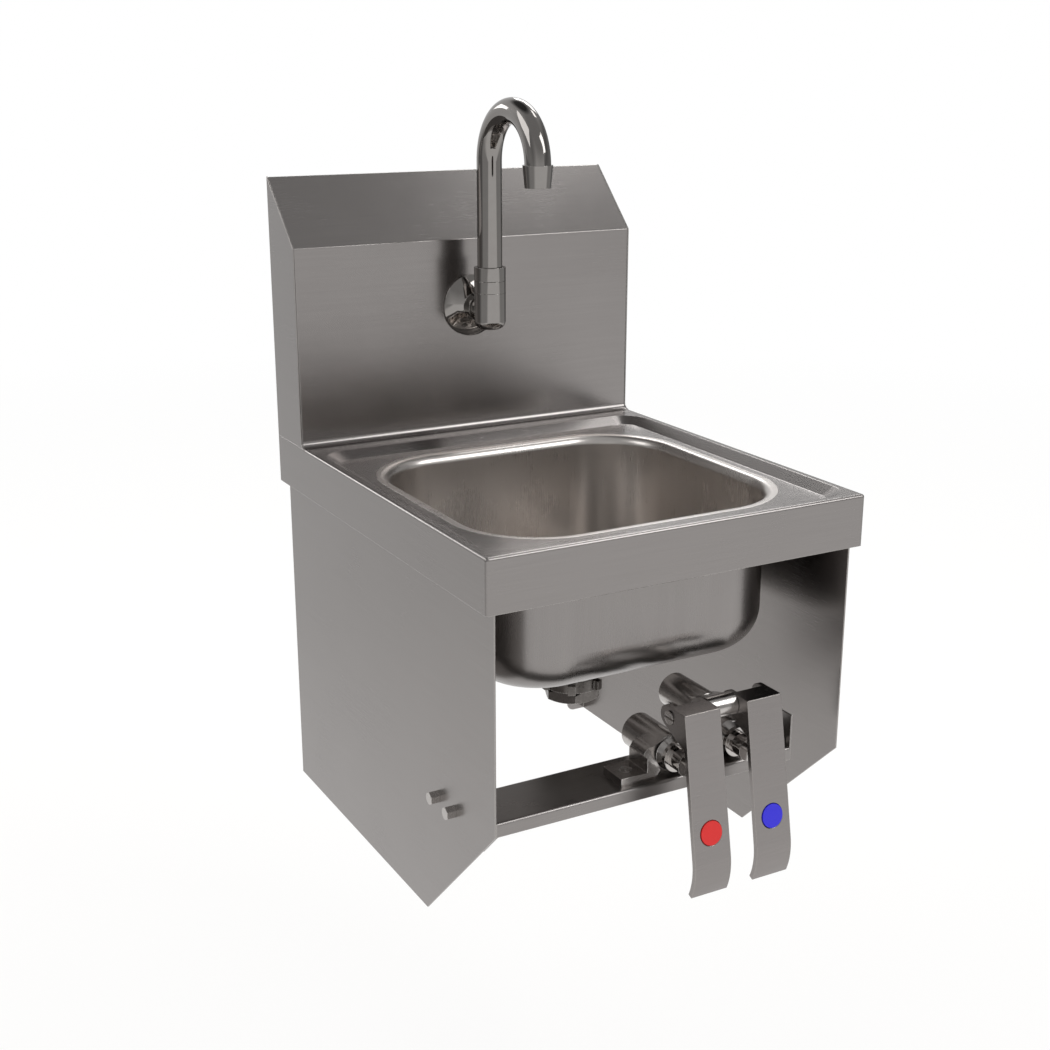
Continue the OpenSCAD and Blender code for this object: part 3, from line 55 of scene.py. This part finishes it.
edgeFullTurn = 0.86  # the cosine at which an edge counts fully in the edge mask, about 30 degrees


def linear(hexColour):
    # sRGB hex to the linear colour that the sockets want
    parts = [int(hexColour[i : i + 2], 16) / 255 for i in (1, 3, 5)]
    parts = [c / 12.92 if c <= 0.04045 else ((c + 0.055) / 1.055) ** 2.4 for c in parts]
    return (*parts, 1)


def add(tree, kind, values=None, **settings):
    # one node; values are plain numbers, or sockets to link from
    node = tree.nodes.new("ShaderNode" + kind)
    for name, value in settings.items():
        setattr(node, name, value)
    for key, value in (values or {}).items():
        if isinstance(value, bpy.types.NodeSocket):
            tree.links.new(value, node.inputs[key])
        else:
            node.inputs[key].default_value = value
    return node


def newMaterial(name):
    material = bpy.data.materials.new(name)
    material.use_nodes = True
    material.node_tree.nodes.clear()
    return material, material.node_tree


def closeMaterial(tree, shader):
    add(tree, "OutputMaterial", {"Surface": shader.outputs[0]})


def mixed(tree, factor, first, second):
    # sockets 6 and 7 are the two colours of the Mix node
    node = add(tree, "Mix", {"Factor": factor, 6: first, 7: second}, data_type="RGBA")
    return node.outputs[2]


def maths(tree, operation, first, second=0.0):
    return add(tree, "Math", {0: first, 1: second}, operation=operation).outputs[0]


def vectors(tree, operation, first, second):
    return add(tree, "VectorMath", {0: first, 1: second}, operation=operation)


def ranged(tree, value, low, high, toLow, toHigh):
    limits = {"From Min": low, "From Max": high, "To Min": toLow, "To Max": toHigh}
    return add(tree, "MapRange", {"Value": value, **limits}).outputs[0]


def noise(tree, place, scale, detail, roughness=0.5):
    values = {"Vector": place, "Scale": scale, "Detail": detail, "Roughness": roughness}
    return add(tree, "TexNoise", values).outputs[0]


def bumped(tree, height, strength, depth, normal):
    values = {"Height": height, "Strength": strength, "Distance": depth, "Normal": normal}
    return add(tree, "Bump", values).outputs[0]


def edges(tree, reach):
    # the normal of an edge rounded by handling, and a mask that is 1 there and 0 on the flats;
    # the mask lightens the edges, for wear and as a painted highlight
    rounded = add(tree, "Bevel", {"Radius": reach}, samples=6).outputs[0]
    flat = add(tree, "NewGeometry").outputs["Normal"]
    likeness = vectors(tree, "DOT_PRODUCT", rounded, flat).outputs["Value"]
    return rounded, ranged(tree, likeness, 1.0, edgeFullTurn, 0.0, 1.0)


def levelGrain(tree, across, along):
    # a belt that runs level: along X on the front, top and back, along Y on the sides
    place = add(tree, "TexCoord").outputs["Object"]
    facing = add(tree, "SeparateXYZ", {0: add(tree, "NewGeometry").outputs["Normal"]})
    sideways = maths(tree, "ABSOLUTE", facing.outputs["X"])
    isSide = maths(tree, "GREATER_THAN", sideways, sideTurn)
    scaleY = ranged(tree, isSide, 0, 1, 1 / across, 1 / along)
    scales = add(tree, "CombineXYZ", {"X": 1 / along, "Y": scaleY, "Z": 1 / across})
    return vectors(tree, "MULTIPLY", place, scales.outputs[0]).outputs[0]


def drawnGrain(tree, across, along):
    # marks that run down the walls, as a drawing punch and the hand buff leave them
    place = add(tree, "TexCoord").outputs["Object"]
    scales = (1 / across, 1 / across, 1 / along)
    return vectors(tree, "MULTIPLY", place, scales).outputs[0]


def evenGrain(tree, across, along):
    # no direction, so the length of a mark isn't used
    place = add(tree, "TexCoord").outputs["Object"]
    return vectors(tree, "MULTIPLY", place, (1 / across,) * 3).outputs[0]


grains = {"level": levelGrain, "drawn": drawnGrain, "even": evenGrain}


def metalColour(tree, look, place, scratches, bands, edgeWearAndHighlight):
    fine = maths(tree, "MULTIPLY", scratches, 0.35)
    coarse = maths(tree, "MULTIPLY", bands, 0.65)
    tone = maths(tree, "ADD", fine, coarse)
    colour = mixed(tree, tone, linear(look["dark"]), linear(look["light"]))
    if "buffed" in look:
        # inside the bowl the normals point back at its middle; there the colour is painted
        # lighter, as painted light
        outward = vectors(tree, "SUBTRACT", place, look["bowlMiddle"]).outputs[0]
        facing = add(tree, "NewGeometry").outputs["Normal"]
        side = vectors(tree, "DOT_PRODUCT", facing, outward).outputs["Value"]
        inside = maths(tree, "LESS_THAN", side, 0.0)
        dark, light = look["buffed"]
        colour = mixed(tree, inside, colour, mixed(tree, tone, linear(dark), linear(light)))
    # edges painted lighter: partly wear, partly a painted highlight standing in for light caught
    # on rounded edges
    edgeWearAndHighlightShare = maths(tree, "MULTIPLY", edgeWearAndHighlight, look["edgeShare"])
    return mixed(tree, edgeWearAndHighlightShare, colour, linear(look["edge"]))


def metalRoughness(tree, look, smudges, scratches, edgeWearAndHighlight):
    middle, smudge, scratch = look["roughness"], look["smudgeSpread"], look["scratchSpread"]
    hands = ranged(tree, smudges, noiseLow, noiseHigh, middle - smudge, middle + smudge)
    belt = ranged(tree, scratches, noiseLow, noiseHigh, -scratch, scratch)
    edgeWearAndHighlightShare = maths(tree, "MULTIPLY", edgeWearAndHighlight, scratch)
    return maths(tree, "SUBTRACT", maths(tree, "ADD", hands, belt), edgeWearAndHighlightShare)


def metal(name, look):
    material, tree = newMaterial(name)
    grain = grains[look["grain"]]
    place = add(tree, "TexCoord").outputs["Object"]
    scratchPlace = grain(tree, look["scratchPitch"], look["scratchLength"])
    bandPlace = grain(tree, look["bandPitch"], look["bandLength"])
    scratches = noise(tree, scratchPlace, 1, 3, 0.6)
    bands = noise(tree, bandPlace, 1, 2)
    smudges = noise(tree, place, 1 / look["smudgeSize"], 3)
    rounded, edgeWearAndHighlight = edges(tree, look["edgeReach"])
    values = {
        "Base Color": metalColour(tree, look, place, scratches, bands, edgeWearAndHighlight),
        "Metallic": 1.0,
        "Roughness": metalRoughness(tree, look, smudges, scratches, edgeWearAndHighlight),
        "Normal": bumped(tree, scratches, look["bumpStrength"], look["bumpDepth"], rounded),
    }
    shader = add(tree, "BsdfPrincipled", values)
    if "anisotropic" in look:
        shader.inputs["Anisotropic"].default_value = look["anisotropic"]
        shader.inputs["Anisotropic Rotation"].default_value = 0.25
        # level on every face; the small Y keeps it defined where the face looks straight up
        facing = add(tree, "NewGeometry").outputs["Normal"]
        along = vectors(tree, "CROSS_PRODUCT", facing, (0.0, 0.02, 1.0)).outputs[0]
        tree.links.new(along, shader.inputs["Tangent"])
    closeMaterial(tree, shader)
    return material


def moulded(name, look):
    # rubber, plastic and enamel: colour, a fine skin, smudges in the gloss, edges paler from
    # wear and as a painted highlight
    material, tree = newMaterial(name)
    place = add(tree, "TexCoord").outputs["Object"]
    skin = noise(tree, place, 1 / look["skinSize"], 2)
    cloud = noise(tree, place, 1 / look["cloudSize"], 3)
    rounded, edgeWearAndHighlight = edges(tree, look["edgeReach"])
    colour = mixed(tree, cloud, linear(look["dark"]), linear(look["light"]))
    edgeWearAndHighlightShare = maths(tree, "MULTIPLY", edgeWearAndHighlight, 0.4)
    smooth, rough = look["roughness"] - 0.05, look["roughness"] + 0.05
    values = {
        "Base Color": mixed(tree, edgeWearAndHighlightShare, colour, linear(look["edge"])),
        "Roughness": ranged(tree, cloud, noiseLow, noiseHigh, smooth, rough),
        "Normal": bumped(tree, skin, 0.2, look["skinDepth"], rounded),
    }
    closeMaterial(tree, add(tree, "BsdfPrincipled", values))
    return material


# Sheet 304 stainless with a number 4 finish: belt-ground, so fine level scratches about a
# quarter of a millimetre apart, soft wide reflections and a mid grey with a little warmth
satinSheet = {
    "grain": "level",
    "dark": "#8a8684",
    "light": "#94908e",
    # the edge colour is partly wear and partly a painted highlight along bends and cut edges
    "edge": "#c9c5c1",
    "edgeShare": 0.7,
    "edgeReach": 1.0 * mm,
    "roughness": 0.24,
    "smudgeSpread": 0.02,
    "smudgeSize": 70 * mm,
    "scratchSpread": 0.03,
    "scratchPitch": 0.25 * mm,
    "scratchLength": 22 * mm,
    "bandPitch": 1.6 * mm,
    "bandLength": 90 * mm,
    "bumpStrength": 0.12,
    "bumpDepth": 0.01 * mm,
    "anisotropic": 0.3,
}
# Deep-drawn 304 bowl: inside it is painted lighter, a painted light for the bounce light its
# walls lack, with soft marks down the walls
bowlLow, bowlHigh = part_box("bowl")
drawnBowl = {
    **satinSheet,
    "grain": "drawn",
    "buffed": ("#c9c4c0", "#d0cbc7"),
    "bowlMiddle": (
        (bowlLow[0] + bowlHigh[0]) / 2,
        (bowlLow[1] + bowlHigh[1]) / 2,
        bowlHigh[2] + 40 * mm,
    ),
    "roughness": 0.28,
    "scratchPitch": 0.5 * mm,
    "scratchLength": 50 * mm,
    "bandPitch": 9 * mm,
    "bandLength": 120 * mm,
    "bumpStrength": 0.012,
    "scratchSpread": 0.008,
    "anisotropic": 0.0,
}
# Slit strip of the same steel, left as the slitter and the brake press leave it: duller
slitStrip = {
    **satinSheet,
    "roughness": 0.31,
    "smudgeSpread": 0.04,
    "smudgeSize": 35 * mm,
}
# Knee levers of thick 304 flat bar: a finer belt and shorter scratches, corners lighter from
# rubbing and as a painted highlight
leverPlate = {
    **satinSheet,
    "dark": "#898583",
    "light": "#948f8d",
    "edge": "#b0aba6",
    "scratchPitch": 0.2 * mm,
    "scratchLength": 14 * mm,
    "bandLength": 40 * mm,
}
# Cold-headed 18-8 fasteners: tumbled, so an even fine grain; the corners are lighter, partly
# worn and partly a painted highlight
fastener = {
    **satinSheet,
    "grain": "even",
    "dark": "#aaa6a3",
    "light": "#c1bdba",
    "edge": "#d4d0cd",
    "edgeReach": 0.5 * mm,
    "roughness": 0.26,
    "scratchPitch": 0.5 * mm,
    "bandPitch": 2.5 * mm,
    "smudgeSize": 6 * mm,
    "anisotropic": 0.0,
}
# Spun 304 strainer cup: lathe marks too fine to see, a half-bright face
spunStrainer = {
    **fastener,
    "dark": "#8a8681",
    "light": "#a19c97",
    "roughness": 0.2,
    "smudgeSize": 15 * mm,
}
# Die-cast zinc nuts under the drain: grey, pitted, never polished; bright at the edges where a
# wrench rubs, and as a painted highlight
castNut = {
    **fastener,
    "dark": "#5c5855",
    "light": "#7f7b78",
    "edge": "#c4c0bc",
    "edgeReach": 0.8 * mm,
    "roughness": 0.3,
    "smudgeSpread": 0.06,
    "scratchPitch": 0.7 * mm,
    "bumpStrength": 0.5,
    "bumpDepth": 0.05 * mm,
}
# Chrome over polished brass: a mirror, with thumb marks and a faint orange peel
polishedChrome = {
    **fastener,
    "dark": "#8b8784",
    "light": "#93908d",
    "edge": "#a29e9b",
    "edgeReach": 0.4 * mm,
    "roughness": 0.07,
    "smudgeSpread": 0.02,
    "smudgeSize": 14 * mm,
    "scratchSpread": 0.008,
    "scratchPitch": 1.5 * mm,
    "bandPitch": 8 * mm,
    "bumpStrength": 0.05,
}
# Chrome over a rough-polished sand casting: streaks and waves of the polishing wheel stay in it
chromedCasting = {
    **polishedChrome,
    "dark": "#a8a4a1",
    "light": "#c6c2bf",
    # the edges are painted near white, wear and a painted highlight
    "edge": "#dad6d3",
    "edgeReach": 0.7 * mm,
    "edgeShare": 0.8,
    "roughness": 0.2,
    "smudgeSpread": 0.05,
    "smudgeSize": 9 * mm,
    "scratchPitch": 0.9 * mm,
    "bandPitch": 4 * mm,
    "bumpStrength": 0.35,
    "bumpDepth": 0.04 * mm,
}
# Chrome over turned brass bonnets: brighter than the casting, a little less sharp than the spout
chromedBonnet = {
    **polishedChrome,
    "dark": "#b4b0ad",
    "light": "#c4c0bd",
    "edge": "#d6d3d0",
    "roughness": 0.1,
}
# Free-cutting brass, turned and left bare where water runs: yellow with a fine even grain
turnedBrass = {
    **fastener,
    "dark": "#9a7935",
    "light": "#b8954a",
    "edge": "#caa85c",
    "roughness": 0.24,
    "scratchPitch": 0.25 * mm,
}
# Centreless ground 303 stems: finer and glossier than the headed fasteners
turnedStem = {**fastener, "roughness": 0.18, "scratchPitch": 0.25 * mm}
# Hard-drawn spring wire: die marks round the coil, a dull grey
springWire = {**fastener, "dark": "#6f6b67", "light": "#8a8581", "roughness": 0.28}

# Nitrile rubber, compression moulded: near black, matt, greyer at the edges from wear and as a
# painted highlight
nitrile = {
    "dark": "#171716",
    "light": "#232221",
    "edge": "#3a3938",
    "edgeReach": 0.5 * mm,
    "roughness": 0.6,
    "skinSize": 0.6 * mm,
    "skinDepth": 0.03 * mm,
    "cloudSize": 12 * mm,
}
# Acetal, injection moulded: off white, with a fine spark finish
acetal = {
    "dark": "#d6d4ce",
    "light": "#e2e0da",
    "edge": "#eceae5",
    "edgeReach": 0.4 * mm,
    "roughness": 0.45,
    "skinSize": 0.5 * mm,
    "skinDepth": 0.02 * mm,
    "cloudSize": 15 * mm,
}
# Stove enamel poured in the levers' pockets: thick, glossy, paler at the edges from wear and as
# a painted highlight
redEnamel = {
    "dark": "#cf1513",
    "light": "#d71c19",
    "edge": "#ea5a50",
    "edgeReach": 0.3 * mm,
    "roughness": 0.35,
    "skinSize": 0.8 * mm,
    "skinDepth": 0.01 * mm,
    "cloudSize": 8 * mm,
}
blueEnamel = {**redEnamel, "dark": "#1f16cc", "light": "#271ed6", "edge": "#5a53ea"}

looks = {
    "satin_steel": metal("satin sheet", satinSheet),
    "bowl_steel": metal("drawn bowl", drawnBowl),
    "shelf_steel": metal("shelf strip", slitStrip),
    "bracket_steel": metal("bracket strip", slitStrip),
    "lever_steel": metal("lever plate", leverPlate),
    "fastener_steel": metal("headed fasteners", fastener),
    "drain_steel": metal("spun strainer", spunStrainer),
    "drain_nut_metal": metal("cast nuts", castNut),
    "chrome": metal("polished chrome", polishedChrome),
    "valve_chrome": metal("chromed casting", chromedCasting),
    "bonnet_chrome": metal("chromed bonnet", chromedBonnet),
    "brass": metal("turned brass", turnedBrass),
    "stem_steel": metal("turned stem", turnedStem),
    "spring_steel": metal("spring wire", springWire),
    "rubber": moulded("black rubber", nitrile),
    "white_plastic": moulded("white moulding", acetal),
    "red_enamel": moulded("red index", redEnamel),
    "blue_enamel": moulded("blue index", blueEnamel),
}

slotNames = {}
for nodeName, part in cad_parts.items():
    for slot in part.material_slots:
        slotNames[nodeName] = slot.material.name.split(".")[0]
        slot.material = looks[slotNames[nodeName]]
print("finishes on", len(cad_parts), "parts")


def onlyActive(piece):
    bpy.ops.object.select_all(action="DESELECT")
    piece.select_set(True)
    bpy.context.view_layer.objects.active = piece


def cleanCopy(nodeName):
    # the CAD mesh comes as loose triangles, so the copy is merged and its flats are joined up
    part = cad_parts[nodeName]
    pieceName = nodeName.replace("_", " ").title().replace(" ", "")
    piece = bpy.data.objects.new(pieceName, part.data.copy())
    scene.collection.objects.link(piece)
    piece.data.name = pieceName
    piece.data.transform(part.matrix_world)
    onlyActive(piece)
    bpy.ops.mesh.customdata_custom_splitnormals_clear()
    bpy.ops.object.mode_set(mode="EDIT")
    bpy.ops.mesh.select_all(action="SELECT")
    bpy.ops.mesh.remove_doubles(threshold=0.004 * mm)
    bpy.ops.mesh.normals_make_consistent(inside=False)
    bpy.ops.mesh.dissolve_limited(angle_limit=math.radians(0.3))
    bpy.ops.object.mode_set(mode="OBJECT")
    return piece


def breakEdges(piece, width, steps, angle):
    onlyActive(piece)
    bevel = piece.modifiers.new("broken edges", "BEVEL")
    bevel.width = width
    bevel.segments = steps
    bevel.limit_method = "ANGLE"
    bevel.angle_limit = math.radians(angle)
    bevel.use_clamp_overlap = True
    bevel.miter_outer = "MITER_ARC"
    bpy.ops.object.modifier_apply(modifier=bevel.name)
    bpy.ops.object.shade_smooth_by_angle(angle=math.radians(40))
    level = piece.modifiers.new("flats stay flat", "WEIGHTED_NORMAL")
    level.keep_sharp = True
    bpy.ops.object.modifier_apply(modifier=level.name)


def finishPiece(piece, nodeName, body):
    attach(piece, body)
    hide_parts(nodeName)
    print(piece.name, len(piece.data.polygons), "faces")


# Broken edges, which catch the light as ground and polished corners do: how wide, in how many
# steps, and from which angle between two faces on
softEdges = {
    "left_end_cap": {"body": "root", "width": 1.0 * mm, "steps": 3, "angle": 30},
    "right_end_cap": {"body": "root", "width": 1.0 * mm, "steps": 3, "angle": 30},
    "left_side_panel": {"body": "root", "width": 0.35 * mm, "steps": 2, "angle": 30},
    "right_side_panel": {"body": "root", "width": 0.35 * mm, "steps": 2, "angle": 30},
    "backsplash": {"body": "root", "width": 0.6 * mm, "steps": 3, "angle": 25},
    "hot_lever": {"body": "hot_knee_lever", "width": 0.6 * mm, "steps": 3, "angle": 35},
    "cold_lever": {"body": "cold_knee_lever", "width": 0.6 * mm, "steps": 3, "angle": 35},
    "packing_nut": {"body": "root", "width": 0.4 * mm, "steps": 2, "angle": 35},
    "trim_ring": {"body": "root", "width": 0.3 * mm, "steps": 2, "angle": 35},
    "escutcheon": {"body": "root", "width": 0.4 * mm, "steps": 2, "angle": 38},
    "panel_bolts": {"body": "root", "width": 0.3 * mm, "steps": 2, "angle": 38},
}
for nodeName, edge in softEdges.items():
    piece = cleanCopy(nodeName)
    breakEdges(piece, edge["width"], edge["steps"], edge["angle"])
    finishPiece(piece, nodeName, edge["body"])
print("broken edges done")

# Return springs: each is copied onto the root body with a mesh of its own
for side in ("hot", "cold"):
    nodeName = side + "_spring"
    spring = cleanCopy(nodeName)
    finishPiece(spring, nodeName, "root")
    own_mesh(spring)
print("springs done")

# White painted board under the sink. The eye and gloss see it as the background's white; near
# the object it keeps a part of its own shading, which carries the shadow
floorLook = {
    "height": -0.86,
    "size": 60,
    "paint": "#f4f2ef",
    "whiteNear": 0.78,
    "nearEnds": 1.2,
    "farStarts": 4.0,
    "behindStarts": 0.0,
    "behindEnds": 1.2,
    "behindDim": 0.28,
    "sideLean": 0.6,
    "sideStarts": 1.0,
    "sideEnds": 2.0,
    "sideDim": 0.5,
}


def paleFloor(look):
    material, tree = newMaterial("pale floor")
    rays = add(tree, "LightPath").outputs
    seen = maths(tree, "MAXIMUM", rays["Is Camera Ray"], rays["Is Glossy Ray"])
    seen = maths(tree, "MAXIMUM", seen, rays["Is Transmission Ray"])
    place = add(tree, "NewGeometry").outputs["Position"]
    away = add(tree, "VectorMath", {0: place}, operation="LENGTH").outputs["Value"]
    white = ranged(tree, away, look["nearEnds"], look["farStarts"], look["whiteNear"], 1.0)
    # in gloss the board falls off toward the back and past its two sides
    spot = add(tree, "SeparateXYZ", {0: place}).outputs
    back = ranged(
        tree, spot["Y"], look["behindStarts"], look["behindEnds"], 0.0, look["behindDim"]
    )
    lean = maths(tree, "MULTIPLY", maths(tree, "ABSOLUTE", spot["Y"]), look["sideLean"])
    width = maths(tree, "SUBTRACT", maths(tree, "ABSOLUTE", spot["X"]), lean)
    aside = ranged(tree, width, look["sideStarts"], look["sideEnds"], 0.0, look["sideDim"])
    dim = maths(tree, "MULTIPLY", maths(tree, "ADD", back, aside), rays["Is Glossy Ray"])
    strength = maths(tree, "SUBTRACT", 1.0, dim)
    paint = add(tree, "BsdfDiffuse", {"Color": linear(look["paint"])}).outputs[0]
    glow = add(tree, "Emission", {"Color": linear("#ffffff"), "Strength": strength}).outputs[0]
    share = maths(tree, "MULTIPLY", seen, white)
    closeMaterial(tree, add(tree, "MixShader", {0: share, 1: paint, 2: glow}))
    return material


bpy.ops.object.select_all(action="DESELECT")
bpy.ops.mesh.primitive_plane_add(size=floorLook["size"], location=(0, 0, floorLook["height"]))
floor = bpy.context.active_object
floor.name = "floor"
floor.data.materials.append(paleFloor(floorLook))
print("floor laid")

# The room is white to the eye. Gloss sees it shaded: each row leans along a direction, and the
# brightness runs over the span from the first value to the second
roomShades = {
    "ceiling in front": {"lean": (0, -0.5, 1), "span": (0.1, 0.9), "bright": (1.0, 0.4)},
    "low on the right": {"lean": (1, 0, -0.5), "span": (0.3, 0.65), "bright": (1.0, 0.3)},
    "behind": {"lean": (0, 1, 0), "span": (0.2, 0.8), "bright": (1.0, 0.74)},
    "left": {"lean": (1, 0, 0), "span": (-0.9, -0.6), "bright": (0.4, 1.0)},
    # dark, which gives the spout's bend its black bands
    "high up behind": {"lean": (0, 0.5, 1), "span": (1.0, 1.08), "bright": (1.0, 0.12)},
}
fillStrength = 0.78  # of the room on matt surfaces

world = bpy.data.worlds.new("studio")
scene.world = world
world.use_nodes = True
sky = world.node_tree
sky.nodes.clear()
rays = add(sky, "LightPath").outputs
direction = add(sky, "TexCoord").outputs["Generated"]
room = 1.0
for shade in roomShades.values():
    along = vectors(sky, "DOT_PRODUCT", direction, shade["lean"]).outputs["Value"]
    room = maths(sky, "MULTIPLY", room, ranged(sky, along, *shade["span"], *shade["bright"]))
plain = ranged(sky, rays["Is Diffuse Ray"], 0, 1, 1.0, fillStrength)
seenWhite = add(sky, "Background", {"Color": linear("#ffffff"), "Strength": plain}).outputs[0]
inGloss = add(sky, "Background", {"Color": linear("#ffffff"), "Strength": room}).outputs[0]
skyMix = add(sky, "MixShader", {0: rays["Is Glossy Ray"], 1: seenWhite, 2: inGloss})
add(sky, "OutputWorld", {"Surface": skyMix.outputs[0]})

# Softboxes, all turned to the middle of the sink
lamps = {
    "back right softbox": {"place": (1.6, 1.8, 1.65), "size": (1.5, 0.9), "watts": 17},
    "back left softbox": {"place": (-1.1, 2.4, 0.9), "size": (0.9, 0.6), "watts": 6},
    "top softbox": {"place": (1.42, 0.3, 2.2), "size": (0.6, 0.6), "watts": 3.5},
    "left softbox": {"place": (-2.5, 0.5, 1.65), "size": (2.2, 1.7), "watts": 22},
    "front softbox": {"place": (1.45, -2.0, 1.5), "size": (1.2, 1.5), "watts": 22},
}
sinkMiddle = Vector((0, -0.2, -0.2))
for name, lamp in lamps.items():
    data = bpy.data.lights.new(name, "AREA")
    data.shape = "RECTANGLE"
    data.size, data.size_y = lamp["size"]
    data.energy = lamp["watts"]
    softbox = bpy.data.objects.new(name, data)
    scene.collection.objects.link(softbox)
    softbox.location = lamp["place"]
    ray = sinkMiddle - Vector(lamp["place"])
    softbox.rotation_euler = ray.to_track_quat("-Z", "Y").to_euler()
print("light set")

# Camera, fitted to the photograph: its place, and its axes in the frame of the sink
viewpoint = {
    "lens": 52.13,
    "sensor": 36,
    "near": 0.05,
    "place": (-0.6567, -1.3602, 0.1436),
    "right": (0.8758, -0.4822, 0.0006),
    "up": (0.14150, 0.25822, 0.95567),
    "back": (-0.46109, -0.83708, 0.29445),
}
lens = bpy.data.cameras.new("camera")
lens.lens = viewpoint["lens"]
lens.sensor_width = viewpoint["sensor"]
lens.clip_start = viewpoint["near"]
camera = bpy.data.objects.new("camera", lens)
scene.collection.objects.link(camera)
axes = Matrix((viewpoint["right"], viewpoint["up"], viewpoint["back"])).transposed()
camera.matrix_world = Matrix.Translation(viewpoint["place"]) @ axes.to_4x4()
scene.camera = camera
scene.view_settings.view_transform = "Standard"
print("camera placed")
